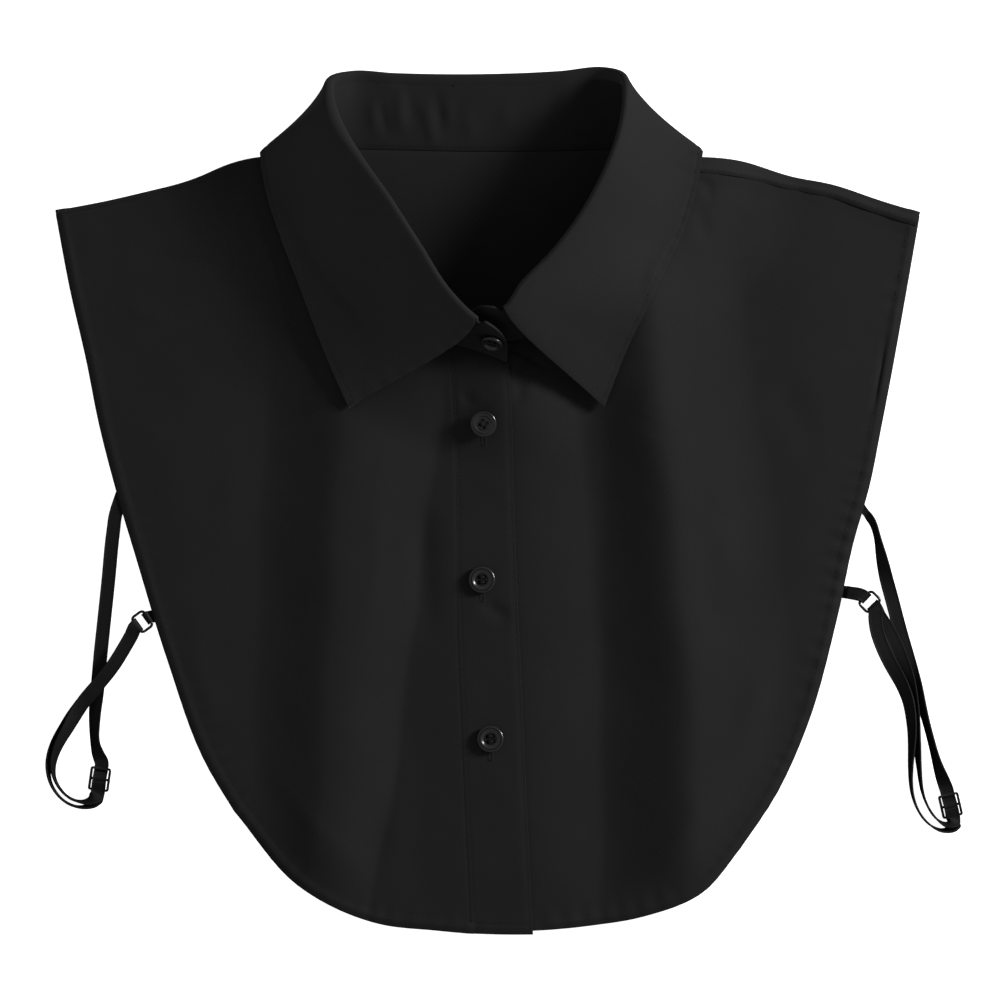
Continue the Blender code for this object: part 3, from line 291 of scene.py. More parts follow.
def strap_rows(side):
    """Rows of one side's elastic, from the armhole through the slider to the ring and back to the slider.

    With them comes the place of the ring's near bar, which the tab goes round.
    """
    spec = STRAPS[side]
    ring_place, ring_heading = spec["ring"][:2], spec["ring"][2]
    reach = toward(ring_heading) * (RING_SHORT - RING_WIRE) / 2
    far_bar, near_bar = ring_place + reach, ring_place - reach
    slider_place, slider_heading = spec["slider"][:2], spec["slider"][2]
    enter, leave = [slider_place + s * toward(slider_heading)
                    for s in (SLIDER_RUN[0][0], SLIDER_END[0][0] + PAIR_START)]
    turn_at_ring = spec["pair"][-1][3]
    pair = [(*leave, 0, 0, PAIR_GAP, 0)] + spec["pair"] + [(*far_bar, 0, turn_at_ring, RING_GAP, 0)]
    out, back = pair_runs(pair)
    round_ring = across_bar(far_bar, ring_heading + 180, round_bar())[1:-1]
    rows = np.vstack([main_run(spec["main"] + [(*enter, 0, 0, ELASTIC_WIDTH)]),
                      across_bar(slider_place, slider_heading, SLIDER_RUN)[1:], out,
                      round_ring[::-1] if turn_at_ring else round_ring, back,
                      across_bar(slider_place, slider_heading, SLIDER_END)])
    return start_rows(spec["sewn"], rows, ELASTIC_WIDTH), near_bar


def node(material, kind, inputs=None, **settings):
    """Adds a node. Settings are its own; inputs are values or outputs of nodes, by socket name or number."""
    made = material.node_tree.nodes.new(kind)
    for key, value in settings.items():
        setattr(made, key, value)
    for socket, value in (inputs or {}).items():
        if isinstance(value, bpy.types.NodeSocket):
            material.node_tree.links.new(value, made.inputs[socket])
        else:
            made.inputs[socket].default_value = value
    return made


def linear(code):
    """An sRGB hex colour as linear RGBA."""
    parts = [int(code[i:i + 2], 16) / 255 for i in (1, 3, 5)]
    return [c / 12.92 if c <= 0.04045 else ((c + 0.055) / 1.055) ** 2.4 for c in parts] + [1]


def surface(name, **sockets):
    """A material with its Principled shader, and its constant sockets set."""
    material = bpy.data.materials.new(name)
    material.use_nodes = True
    shader = material.node_tree.nodes["Principled BSDF"]
    for socket, value in sockets.items():
        shader.inputs[socket.replace("_", " ")].default_value = value
    return material, shader


MIX_FIRST, MIX_SECOND, MIX_RESULT = 6, 7, 2  # the mixer's sockets for colours, behind its others


def finished(material, shader, share, dark, light, height=None, strength=0.0, depth=0.0):
    """Ends a material: its colour between two by a share and, by a height, its relief of a depth in mm."""
    links = material.node_tree.links
    mixer = node(material, "ShaderNodeMix", {0: share, MIX_FIRST: linear(dark), MIX_SECOND: linear(light)},
                 data_type="RGBA")
    links.new(mixer.outputs[MIX_RESULT], shader.inputs["Base Color"])
    if height is not None:
        bump = node(material, "ShaderNodeBump",
                    {"Height": height, "Strength": strength, "Distance": depth * MM})
        links.new(bump.outputs["Normal"], shader.inputs["Normal"])
    return material


def crossed(material, flat, spacings, *shaping):
    """How threads rise and sink: waves of the given spacings, in mm, along and across the flat measure."""
    split = node(material, "ShaderNodeSeparateXYZ", {0: flat})
    waves = []
    for axis, spacing in zip("XY", spacings):
        wave = node(material, "ShaderNodeMath", {0: split.outputs[axis], 1: math.pi / spacing},
                    operation="MULTIPLY")
        for operation in ("SINE", *shaping):
            wave = node(material, "ShaderNodeMath", {0: wave.outputs[0]}, operation=operation)
        waves.append(wave.outputs[0])
    return node(material, "ShaderNodeMath", {0: waves[0], 1: waves[1]}, operation="MULTIPLY").outputs[0]


def woven_elastic():
    """Rubber covered with black polyester yarn: fine ribs across, a smooth corded edge, a slight satin; painted
    shade in the hollows.
    """
    rib, pick = 0.7, 0.9  # spacing of the lengthwise ribs and of the crosswise picks, mm
    material, shader = surface("black woven elastic", Roughness=0.6, Specular_IOR_Level=0.15)
    flat = node(material, "ShaderNodeUVMap", uv_map="cloth").outputs["UV"]
    height = crossed(material, flat, (rib, pick), "ABSOLUTE")
    # painted shade: the colour follows the weave's height, darker in its hollows and lighter on its crests
    return finished(material, shader, height, "#0d0d0d", "#191919", height, strength=0.5, depth=0.12)


ELASTIC = woven_elastic()


def fitted(obj, material, slot, *nodes):
    """Finishes a piece: its material, the body that it rides on, and the nodes that it stands for."""
    obj.data.materials.append(material)
    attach(obj, "root")
    if nodes:
        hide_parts(*nodes)
    return obj


near_bars, straps, paths = {}, {}, {}
for side in STRAPS:
    rows, near_bars[side] = strap_rows(side)
    strap, paths[side] = swept(f"strap_{side}", rows)
    straps[side] = fitted(strap, ELASTIC, "elastic", f"elastic_{side}")

# ------------------------------------------------------------------ tabs, rings and sliders
# A short tab of the same elastic is folded through each ring and sewn to the front's edge. Rings are bent
# wire, sliders pressed frames with a middle bar, both lacquered black: a hard gloss on rounded edges.
SLIDER_LONG, SLIDER_WIDE, SLIDER_THICK = 10.2, 9.0, 1.0
SLIDER_BAR, SLIDER_SIDE, SLIDER_HEIGHT = 1.0, 1.1, 1.8  # widths of its bars and sides, height of its middle
SLIDER_CORNER, SLIDER_CORNER_STEPS, SLIDER_EDGE = 1.2, 5, 0.25  # its corners' radius, and its edges' bevel
RING_CORNER, RING_CORNER_STEPS, WIRE_ROUND = 1.6, 8, 3
SHARP_EDGE = math.radians(60)  # edges that turn by more than this are bevelled


def tab_rows(side):
    """Rows of the tab: from the front's edge through the ring, round it and back."""
    spec = STRAPS[side]
    lower = [(*point, 0, 0, TAB_WIDTH) for point in spec["tab_line"] + [tuple(near_bars[side])]]
    rows = np.vstack([main_run(lower)[:-1],
                      across_bar(near_bars[side], spec["ring"][2], round_bar(), TAB_WIDTH)])
    end_lean = rows[-1 if side == "left" else 0, 3:6]
    rows = np.vstack([rows, [*spec["tab_end"], *end_lean, TAB_WIDTH]])
    return start_rows(spec["tab"], rows, TAB_WIDTH)


def placed(obj, place, turn):
    """Turns a piece about Z and moves it to its place, in its mesh."""
    obj.data.transform(Matrix.Translation([value * MM for value in place])
                       @ Matrix.Rotation(math.radians(turn), 4, "Z"))
    return obj


def ring(name, place, turn):
    """A ring of round wire bent to a rounded rectangle."""
    wire = bpy.data.curves.new(name, "CURVE")
    wire.dimensions = "3D"
    wire.bevel_depth = RING_WIRE / 2 * MM
    wire.bevel_resolution = WIRE_ROUND
    half_x, half_y = (RING_SHORT - RING_WIRE) / 2, (RING_LONG - RING_WIRE) / 2
    points = []
    for sign_x, sign_y, start in ((1, 1, 0), (-1, 1, 90), (-1, -1, 180), (1, -1, 270)):
        for a in np.radians(np.linspace(start, start + 90, RING_CORNER_STEPS + 1)):
            points.append((sign_x * (half_x - RING_CORNER) + RING_CORNER * math.cos(a),
                           sign_y * (half_y - RING_CORNER) + RING_CORNER * math.sin(a)))
    spline = wire.splines.new("POLY")
    spline.points.add(len(points) - 1)
    for point, (x, y) in zip(spline.points, points):
        point.co = (x * MM, y * MM, 0, 1)
    spline.use_cyclic_u = True
    return placed(linked(name, wire), place, turn)


def slider(name, place, turn):
    """A flat frame with a middle bar: a grid with two windows, drawn up to its thickness, edges rounded."""
    bm = bmesh.new()
    made = bmesh.ops.create_grid(bm, x_segments=5, y_segments=3, size=1)["verts"]
    half_x, half_y = SLIDER_LONG / 2, SLIDER_WIDE / 2
    columns = [-half_x, SLIDER_BAR - half_x, -SLIDER_BAR / 2, SLIDER_BAR / 2, half_x - SLIDER_BAR, half_x]
    lines = [-half_y, SLIDER_SIDE - half_y, half_y - SLIDER_SIDE, half_y]
    for number, vert in enumerate(made):
        row, column = divmod(number, len(columns))
        vert.co = (columns[column] * MM, lines[row] * MM, -SLIDER_THICK / 2 * MM)
    bm.faces.ensure_lookup_table()
    windows = [face for face in bm.faces if abs(face.calc_center_median().y) < SLIDER_SIDE * MM
               and SLIDER_BAR * MM < abs(face.calc_center_median().x) < (half_x - SLIDER_BAR) * MM]
    bmesh.ops.delete(bm, geom=windows, context="FACES")
    grown = bmesh.ops.extrude_face_region(bm, geom=bm.faces[:])["geom"]
    bmesh.ops.translate(bm, verts=[v for v in grown if isinstance(v, bmesh.types.BMVert)],
                        vec=(0, 0, SLIDER_THICK * MM))
    bmesh.ops.recalc_face_normals(bm, faces=bm.faces)
    upright = [edge for edge in bm.edges
               if abs(edge.verts[0].co.z - edge.verts[1].co.z) > SLIDER_THICK / 2 * MM]
    corners = [edge for edge in upright if abs(edge.verts[0].co.x) > (half_x - SAME_PLACE) * MM
               and abs(edge.verts[0].co.y) > (half_y - SAME_PLACE) * MM]
    bmesh.ops.bevel(bm, geom=corners, offset=SLIDER_CORNER * MM, segments=SLIDER_CORNER_STEPS, profile=0.5,
                    affect="EDGES", material=-1)
    sharp = [edge for edge in bm.edges if edge.calc_face_angle(0) > SHARP_EDGE]
    bmesh.ops.bevel(bm, geom=sharp, offset=SLIDER_EDGE * MM, segments=2, profile=0.5, affect="EDGES",
                    material=-1)
    return placed(meshed(name, bm), place, turn)


def lacquered_metal():
    """Steel wire and strip, dipped in black lacquer: a smooth gloss, with faint runs in the coat."""
    material, shader = surface("black lacquered metal", Roughness=0.26, Coat_Weight=0.2, Coat_Roughness=0.1)
    where = node(material, "ShaderNodeTexCoord").outputs["Object"]
    runs = node(material, "ShaderNodeTexNoise", {"Vector": where, "Scale": 1 / (1.5 * MM), "Detail": 2.0})
    share = runs.outputs[0]
    return finished(material, shader, share, "#0b0b0c", "#161617", share, strength=0.24, depth=0.05)


LACQUER = lacquered_metal()
for side, spec in STRAPS.items():
    tab, _ = swept(f"tab_tape_{side}", tab_rows(side))
    fitted(tab, ELASTIC, "elastic", f"tab_{side}")
    x, y, heading = spec["ring"]
    fitted(ring(f"wire_ring_{side}", (x, y, RING_HEIGHT), heading), LACQUER, "hardware", f"ring_{side}")
    x, y, heading = spec["slider"]
    buckle = fitted(slider(f"strap_slider_{side}", (x, y, SLIDER_HEIGHT), heading), LACQUER, "hardware",
                    f"slider_{side}")

# ------------------------------------------------------------------ back panel
# One piece of poplin, cut on the fold, so that it has no seam. Its narrow hems are turned twice and stitched,
# and at each shoulder it comes over to the front, where it is sewn down.
CLOTH, SEAM, INTERLINED = 1.0, 0.3, 1.2  # the model's cloth, the gap where two are sewn, its interlined cloth
POPLIN_THIN, POPLIN_HEMMED, POPLIN_LINED = 0.5, 1.0, 1.1  # thickness shown: one layer, at a hem, interlined
RIM_ROUND = 0.2  # bevel of the cloth's cut edges
BACK_INSET = 3.0  # the back's open edges lie this far inside those of the fronts
PLACKET_STEP, PLACKET_FADE = 0.95, 40.0  # how much higher the over front lies, and how far that fades out
BACK_REACH = 46.0  # how far the leaf lifts the back, from its neck
FRONT_REACH = ((60.0, 110.0), (48.0, 64.0))  # how far the neck lifts the fronts: for y, this far
NECK_SEAM = 0.25  # from the middle of the stand's wall to the panels' edge that is sewn into it
CORNER_ROOM = 0.55  # from the neck's shoulder corners to the panels' corners
TURN_SHIFT = 0.5  # the shoulder's fold stays this much off the neck's corner
BACK_CORNER, EDGE_REST = 14.0, 26.0  # reach of the back's low neck corners, and of a front's flat open edge
HEM_WIDTH, HEM_STITCH = 4.8, 4.2  # of the narrow hem, and its stitching's distance from the edge
HEM_BLEND = 0.6  # over this width the thickness changes at a hem
FACE_SPANS = 12  # spans between two rows of the collar's table, for the edges that are sewn to it
HEM_DROOP, HEM_DROOP_WIDTH = 0.8, 3.0  # the sewn edge hangs down towards the table
STITCH_SINK, STITCH_PULL = 0.14, 0.7  # depth and width of the furrow that a row of stitches draws in
PUCKER_LONG, PUCKER_HIGH, PUCKER_WIDE = 8.0, 0.16, 4.5  # the small waves along a sewn edge
EDGE_LINES = (0, 0.5, 1.2, 2.0, 2.8, 3.4, 3.8, 4.2, 4.6, 5.0, 5.6, 6.6, 8.4)  # grid lines over a sewn edge
LEFT_SIDE = [(-108.2, -132.8), (-119.8, -113.6), (-136.9, -67.9), (-150.1, -24.8), (-159.1, 5.6),
             (-166.3, 33.7), (-171.4, 59.4), (-178.7, 91.4), (-184.7, 123.4)]
RIGHT_SIDE = [(107.8, -148.6), (122.8, -126.4), (136.4, -96.5), (149.2, -50.8), (156.5, -17.1),
              (163.3, 6.8), (168.0, 30.3), (171.9, 50.4), (178.3, 85.8), (184.7, 122.5)]
LEFT_HEM = [(-108.2, -132.8), (-80.9, -164.4), (-47.2, -180.6), (-21.6, -183.6), (-7.5, -184.9)]
PLACKET_HEM = [(-7.2, -184.9), (7.0, -185.3), (19.4, -185.3)]
RIGHT_HEM = [(-6.2, -183.6), (19.9, -183.6), (43.8, -181.5), (66.4, -177.6), (92.9, -166.5), (107.8, -148.6)]
LEFT_SHOULDER = [(-184.7, 123.4), (-164.2, 127.2), (-143.7, 131.9), (-122.8, 137.1), (-110.0, 141.3),
                 (-92.0, 145.0), (-77.1, 146.5)]
RIGHT_SHOULDER = [(184.7, 122.5), (167.6, 127.7), (147.1, 134.5), (129.2, 137.9), (109.5, 142.4),
                  (89.0, 144.6), (73.0, 146.1)]
FORWARD_SEAM = {"left": (0.8, 0.8), "right": (5.0, 4.0)}  # the back's reach over the fold: at tip, at neck
# The right strip swells over its seam allowances, is highest at that share of its width, falls off over the
# rest towards the seam and steps down there; beyond it the front's rise fades out over this distance
STRIP_RISE, STRIP_CREST, STRIP_FALL, SEAM_STEP, SWELL_FADE = 1.4, 0.68, 0.5, 0.45, 3.0
SHOULDER_REACH = (75.0, 185.0)  # x of the right shoulder's neck and tip
# The collar, from the end that buttons over, round the back, to the end underneath:
# fold of the leaf x, y, z; foot of the stand x, y, z; edge of the leaf x, y, z; spring of the leaf, degrees
COLLAR = [
    (8.3, 72.4, 33.5, 8.3, 58.9, 13.3, -59.1, 39.7, 0.0, 20),
    (-4.1, 78.1, 36.0, -4.1, 63.8, 13.3, -59.1, 39.7, 0.0, 20),
    (-15.2, 88.8, 36.5, -23.5, 70.5, 13.5, -63.8, 50.0, 0.0, 22),
    (-28.0, 108.5, 36.0, -43.0, 91.0, 13.3, -72.4, 70.9, 0.0, 24),
    (-40.8, 128.5, 35.0, -59.0, 114.2, 13.0, -80.9, 93.5, 0.0, 24),
    (-52.7, 146.0, 34.0, -70.5, 132.5, 12.4, -88.6, 113.6, 0.0, 22),
    (-60.4, 160.0, 31.0, -75.5, 143.2, 11.4, -94.6, 132.8, 0.0, 18),
    (-64.7, 172.1, 26.0, -75.6, 148.0, 10.2, -96.6, 149.2, 5.5, 12),
    (-65.5, 179.4, 19.5, -70.7, 149.6, 8.0, -92.0, 148.0, 1.2, 6),
    (-57.9, 182.6, 12.0, -59.6, 150.3, 5.2, -77.9, 138.8, 0.6, 0),
    (-39.5, 181.9, 9.5, -41.6, 150.1, 4.1, -50.2, 136.6, 0.6, 0),
    (-3.2, 181.5, 9.0, -3.2, 149.4, 3.8, -3.2, 136.2, 0.6, 0),
    (31.0, 182.8, 9.5, 34.0, 149.8, 4.1, 43.8, 136.6, 0.6, 0),
    (49.3, 184.2, 12.0, 53.7, 150.3, 5.2, 70.2, 138.8, 0.6, 0),
    (56.6, 180.9, 19.5, 65.4, 149.8, 8.0, 86.4, 148.0, 1.2, 6),
    (57.4, 171.9, 26.0, 71.5, 147.6, 10.2, 91.4, 149.6, 5.5, 12),
    (55.4, 158.2, 31.0, 73.0, 140.9, 11.0, 88.6, 131.9, 0.0, 18),
    (50.2, 143.0, 34.0, 69.8, 129.0, 11.5, 83.9, 116.6, 0.0, 22),
    (40.0, 123.4, 35.0, 59.6, 110.6, 11.8, 77.1, 102.1, 0.0, 24),
    (26.7, 105.5, 36.0, 43.4, 90.9, 11.9, 67.7, 82.0, 0.0, 24),
    (13.9, 92.2, 36.5, 26.6, 76.6, 12.0, 58.3, 62.3, 0.0, 22),
    (6.6, 82.6, 36.0, 12.0, 68.4, 12.0, 49.7, 40.1, 0.0, 20),
    (-6.0, 85.2, 34.0, -9.6, 71.4, 12.0, 49.7, 40.1, 0.0, 20),
]
LEFT_CORNER, LEFT_NECK, RIGHT_NECK, RIGHT_CORNER = 1, 7, 15, 21  # rows: leaf's corners, shoulder seams
# Placket, from the hem to the neck: x of the stitched edge, x of the free edge, y
PLACKET_EDGES = [(-7.2, 19.4, -184.9), (-10.3, 16.4, -121.0), (-12.0, 14.6, -79.0), (-13.7, 12.6, -37.0),
                 (-14.2, 11.2, 4.0), (-15.0, 10.4, 36.0), (-16.6, 8.9, 62.0)]
# Long soft folds of the fronts: x and y of the crest's top and hem ends, bow, height there; then to each side
# the width at the top and at the hem, and two powers: how soft its foot is, and how late it steepens
FOLDS = [
    (-60.5, 45.0, -74.0, -172.0, 1.5, 7.0, 6.2, (31.0, 27.0, 1.5, 1.15), (38.0, 21.0, 1.2, 1.6)),
    (69.0, 70.0, 88.0, -172.0, 4.0, 9.6, 9.0, (29.0, 37.0, 1.45, 1.2), (38.0, 50.0, 1.5, 1.0)),
    (16.0, 20.0, 20.0, -176.0, 0.0, 3.0, 2.0, (52.0, 44.0, 1.3, 1.0), (30.0, 26.0, 1.3, 1.6)),
    (-126.0, 96.0, -134.0, -70.0, 0.0, 0.9, 0.6, (36.0, 30.0, 1.5, 1.2), (30.0, 30.0, 1.5, 1.2)),
    (140.0, 96.0, 140.0, -60.0, 0.0, 0.7, 0.5, (30.0, 30.0, 1.5, 1.2), (34.0, 30.0, 1.5, 1.2)),
]
CREST_ROUND, FOLD_STRAY = 4.0, 1.6  # how round a crest is, and how far it strays from its line
FOLD_START = 0.3  # a fold rises over this share of its length, before its top end
EDGE_FOLDS = 0.35  # the share of a fold's height that is left at an open edge


def ease(share):
    """0 to 1 with flat ends."""
    share = np.clip(share, 0, 1)
    return share * share * (3 - 2 * share)


def bell(offset, width):
    """1 in the middle, softly down to nothing on both sides."""
    return np.exp(-(offset / width) ** 2)


def x_beside(plan, line):
    """The x of a line that runs up the plan, beside each point."""
    return np.interp(plan[:, 1], line[:, 1], line[:, 0])


def nearest(points, line):
    """For each point the distance to a line of points, and the place along it as a fractional index."""
    a, b = line[:-1], line[1:]
    along = b - a
    t = ((points[:, None] - a) * along).sum(2) / np.maximum((along * along).sum(1), 1e-9)
    t = np.clip(t, 0, 1)
    gap = np.linalg.norm(points[:, None] - a - t[..., None] * along, axis=2)
    i = gap.argmin(1)
    rows = np.arange(len(points))
    return gap[rows, i], i + t[rows, i]


def four_sided(bottom, top, left, right, u, v):
    """A sheet of plan points between four edges. u and v are the shares at which their points lie."""
    u, v = u[None, :, None], v[:, None, None]
    ruled = (1 - v) * bottom[None] + v * top[None] + (1 - u) * left[:, None] + u * right[:, None]
    corners = ((1 - u) * (1 - v) * bottom[0] + u * (1 - v) * bottom[-1]
               + (1 - u) * v * top[0] + u * v * top[-1])
    return ruled - corners


def shares_over(length, count, low=True, high=True):
    """Shares of a side of that length: close together over its sewn ends, and even between them."""
    near = np.array(EDGE_LINES) / length
    start = near if low else near[:1]
    end = 1 - near[::-1] if high else np.ones(1)
    return np.concatenate([start, np.linspace(start[-1], end[0], count)[1:-1], end])


def sampled(at, run, values):
    """Rows of values that are known at the distances of run, at other distances."""
    return np.column_stack([np.interp(at, run, column) for column in values.T])


def run_at(place, line):
    """The distance along a line at places on it, which are fractional indices."""
    return np.interp(place, np.arange(len(line)), run_of(line))


def cut(line, start=0.0, end=0.0, count=2, shares=None):
    """The line without `start` mm of its beginning and `end` mm of its end, as evenly spaced points."""
    run = run_of(line)
    shares = np.linspace(0, 1, count) if shares is None else shares
    return sampled(start + (run[-1] - end - start) * shares, run, line)


def run_at_x(line, x):
    """How far along a line of falling x the given x is."""
    return float(np.interp(-x, -line[:, 0], run_of(line)))


def inset(line, width):
    """A plan line moved to its left-hand side by width."""
    along = unit(np.gradient(line, axis=0))
    return line + np.stack([-along[:, 1], along[:, 0]], axis=1) * width


collar_rows = np.array(COLLAR, float)
front_neck_left = smooth(collar_rows[:LEFT_NECK + 1, 3:6], 30)
front_neck_right = smooth(collar_rows[RIGHT_NECK:, 3:6], 30)
back_neck = smooth(collar_rows[LEFT_NECK:RIGHT_NECK + 1, 3:6], 40)
fronts_outline = np.vstack([
    smooth(LEFT_SIDE, 40)[::-1], smooth(LEFT_HEM, 24)[1:], smooth(PLACKET_HEM, 6)[1:],
    smooth(RIGHT_HEM, 24)[6:], smooth(RIGHT_SIDE, 40)[1:]])
placket_line = smooth([(x, y) for x, _, y in PLACKET_EDGES], 24)
right_shoulder = smooth(RIGHT_SHOULDER, 40)


def over_step(plan):
    """How much higher the over front lies than the under front: all of PLACKET_STEP from the placket on."""
    return PLACKET_STEP * (1 - ease((x_beside(plan, placket_line) - plan[:, 0]) / PLACKET_FADE))


def back_level(plan):
    """Underside of the back: flat on the table, lifted over the collar's leaf, low at its neck corners."""
    gap, place = nearest(plan, back_neck[:, :2])
    run = run_of(back_neck[:, :2])
    from_corner = np.minimum(run, run[-1] - run)
    line = back_neck[:, 2] - CLOTH / 2 - (CLOTH + SEAM) * (1 - ease(from_corner / BACK_CORNER))
    return np.interp(place, np.arange(len(back_neck)), line) * (1 - ease(gap / BACK_REACH))


def neck_lift(plan):
    """Underside of the under front at the neck, and its distance from there."""
    line = np.vstack([front_neck_left, front_neck_right])
    foot = line[:, 2] - CLOTH / 2
    foot[:len(front_neck_left)] -= over_step(front_neck_left)
    gap_left, place_left = nearest(plan, front_neck_left[:, :2])
    gap_right, place_right = nearest(plan, front_neck_right[:, :2])
    place = np.where(gap_left < gap_right, place_left, place_right + len(front_neck_left))
    return np.interp(place, np.arange(len(line)), foot), np.minimum(gap_left, gap_right)


def front_level(plan):
    """Underside of the fronts, over the back: lifted at the neck and in the folds, down at the open edges."""
    foot, gap = neck_lift(plan)
    base = back_level(plan) + CLOTH + SEAM
    level = base + np.maximum(foot - base, 0) * (1 - ease(gap / np.interp(plan[:, 1], *FRONT_REACH)))
    edge_gap, _ = nearest(plan, fronts_outline)
    folds = np.zeros(len(plan))
    for x_top, y_top, x_hem, y_hem, bow, h_top, h_hem, left, right in FOLDS:
        share = (y_top - plan[:, 1]) / (y_top - y_hem)
        down = np.clip(share, 0, 1)
        stray = FOLD_STRAY * np.sin(plan[:, 1] / 17.0 + x_top) * np.sin(plan[:, 1] / 41.0 + x_hem)
        across = plan[:, 0] - (x_top + (x_hem - x_top) * share) - bow * 4 * down * (1 - down) + stray
        off = np.sqrt(across**2 + CREST_ROUND**2) - CREST_ROUND
        widths, soft, late = [np.where(across < 0, a, b) for a, b in (
            (left[0] + (left[1] - left[0]) * down, right[0] + (right[1] - right[0]) * down),
            (left[2], right[2]), (left[3], right[3]))]
        shape = (1 - np.clip(off / widths, 0, 1) ** late) ** soft
        folds += (h_top + (h_hem - h_top) * down) * shape * ease((share + FOLD_START) / FOLD_START)
    return level + folds * (EDGE_FOLDS + (1 - EDGE_FOLDS) * ease(edge_gap / EDGE_REST))


def over_level(plan):
    """Underside of the over front and the placket, which lie on the under front's edge."""
    return front_level(plan) + over_step(plan)


def collar_sections(first, last, spans):
    """Smooth sections of the collar between two rows of its table."""
    gaps = np.linalg.norm(np.diff(collar_rows[:, :3], axis=0), axis=1)
    at = np.concatenate([[0], np.cumsum(gaps)]) / gaps.sum()
    shares = np.concatenate([np.linspace(at[row], at[row + 1], spans + 1)[:-1] for row in range(first, last)])
    return smooth(collar_rows, 0, plane=3, shares=np.append(shares, at[last]))


def collar_frames(sections):
    """For each section: direction up the stand, and outward from it."""
    up = unit(sections[:, :3] - sections[:, 3:6])
    return up, unit(np.cross(up, unit(np.gradient(sections[:, :3], axis=0))))


def neck_edge(first, last):
    """Plan line of the panels' edge along the stand's foot, between two rows of the collar's table."""
    sections = collar_sections(first, last, FACE_SPANS)
    up, _ = collar_frames(sections)
    foot = sections[:, 3:5]
    along = unit(np.gradient(foot, axis=0))
    square = np.column_stack([along[:, 1], -along[:, 0]])
    away = np.where((square * up[:, :2]).sum(1) > 0, -1, 1)
    return foot + square * away[:, None] * NECK_SEAM


def sewn_edge(gap, along, drawn=1):
    """Relief along a hem: the furrow that its stitches draw in, and the small waves that they pull up."""
    from_stitch = gap - HEM_STITCH
    waves = np.sin(2 * math.pi * along / PUCKER_LONG + 2.0 * np.sin(along / 21.0) + np.sin(along / 9.0))
    waves *= 0.62 + 0.38 * np.sin(along / 17.0 + 1.7 * np.sin(along / 11.0))
    return (PUCKER_HIGH * drawn * waves * bell(from_stitch, PUCKER_WIDE)
            - STITCH_SINK * bell(from_stitch, STITCH_PULL))


def past_seam(plan):
    """Distance from the right shoulder's fold as a share of the strip's width, and distance past its seam."""
    gap, _ = nearest(plan, right_shoulder)
    ahead = np.interp(plan[:, 0], SHOULDER_REACH, FORWARD_SEAM["right"][::-1])
    return gap / ahead, np.maximum(gap - ahead, 0)


def strip_swell(plan):
    """The strip over the right shoulder rises from its fold to its seam, over the allowances inside."""
    share, _ = past_seam(plan)
    uneven = 1 + 0.14 * np.sin(plan[:, 0] / 2.7 + np.sin(plan[:, 0] / 7.0))
    return STRIP_RISE * ease(share / STRIP_CREST) * uneven - STRIP_FALL * ease((share - STRIP_CREST) / 0.32)


def front_swell(plan):
    """What is left of that rise on the front, beyond the seam."""
    _, past = past_seam(plan)
    return (STRIP_RISE - STRIP_FALL - SEAM_STEP) * bell(past, SWELL_FADE)


LINE_FADE = 0.4  # the share of a soft line over which each of its ends fades out


def soft_lines(plan, rows):
    """Height of soft ridges and troughs, from rows of x, y, x, y of both ends, bow, half width, height."""
    total = np.zeros(len(plan))
    for x0, y0, x1, y1, bow, width, height in rows:
        way = np.array((x1 - x0, y1 - y0))
        length = np.linalg.norm(way)
        way /= length
        from_start = plan - (x0, y0)
        share = np.clip(from_start @ way / length, 0, 1)
        across = from_start @ (-way[1], way[0]) - bow * 4 * share * (1 - share)
        ends = ease(share / LINE_FADE) * ease((1 - share) / LINE_FADE)
        total += height * ends * bell(across, width)
    return total


def handled(plan, size):
    """Low waves of cloth that has been worn, washed and pressed, of lengths that never fall together."""
    x, y = plan[:, 0], plan[:, 1]
    wide = (np.sin(x / 13.1 + 1.3 * np.sin(y / 29.0)) + np.sin(y / 17.3 + 1.7 * np.sin(x / 23.0) + 1.0)
            + np.sin((x + y) / 9.7 + np.sin(x / 31.0)))
    fine = np.sin(x / 3.9 + 2.0 * np.sin(y / 11.0)) * np.sin(y / 4.7 + 2.0 * np.sin(x / 13.0))
    return size * (wide / 3 + fine / 4)


def on_plan(plan, height):
    """A sheet from plan points and heights, with the plan as the cloth's flat measure."""
    return np.dstack([plan, height.reshape(plan.shape[:2]), plan])


def turned_hem(rim):
    """Says for points of a panel whether it is thick there: 1 over the turned hem along its rim."""
    return lambda points: ease((HEM_WIDTH + HEM_BLEND / 2 - nearest(points[:, :2], rim)[0]) / HEM_BLEND)


def shell(obj, hem=None, thick=POPLIN_HEMMED):
    """Gives a cloth its thickness and rounds its cut edges. hem says for its points where it is thick."""
    wall = obj.modifiers.new("cloth", "SOLIDIFY")
    wall.thickness, wall.offset = thick * MM, 0
    if hem is not None:
        group = obj.vertex_groups.new(name="hem")
        points = np.array([vert.co for vert in obj.data.vertices]) / MM
        for index, weight in enumerate(hem(points)):
            group.add([index], float(weight), "REPLACE")
        wall.vertex_group, wall.thickness_vertex_group = "hem", POPLIN_THIN / thick
    rim = obj.modifiers.new("rim", "BEVEL")
    rim.limit_method, rim.angle_limit = "ANGLE", SHARP_EDGE
    rim.width, rim.segments = RIM_ROUND * MM, 2
    return obj


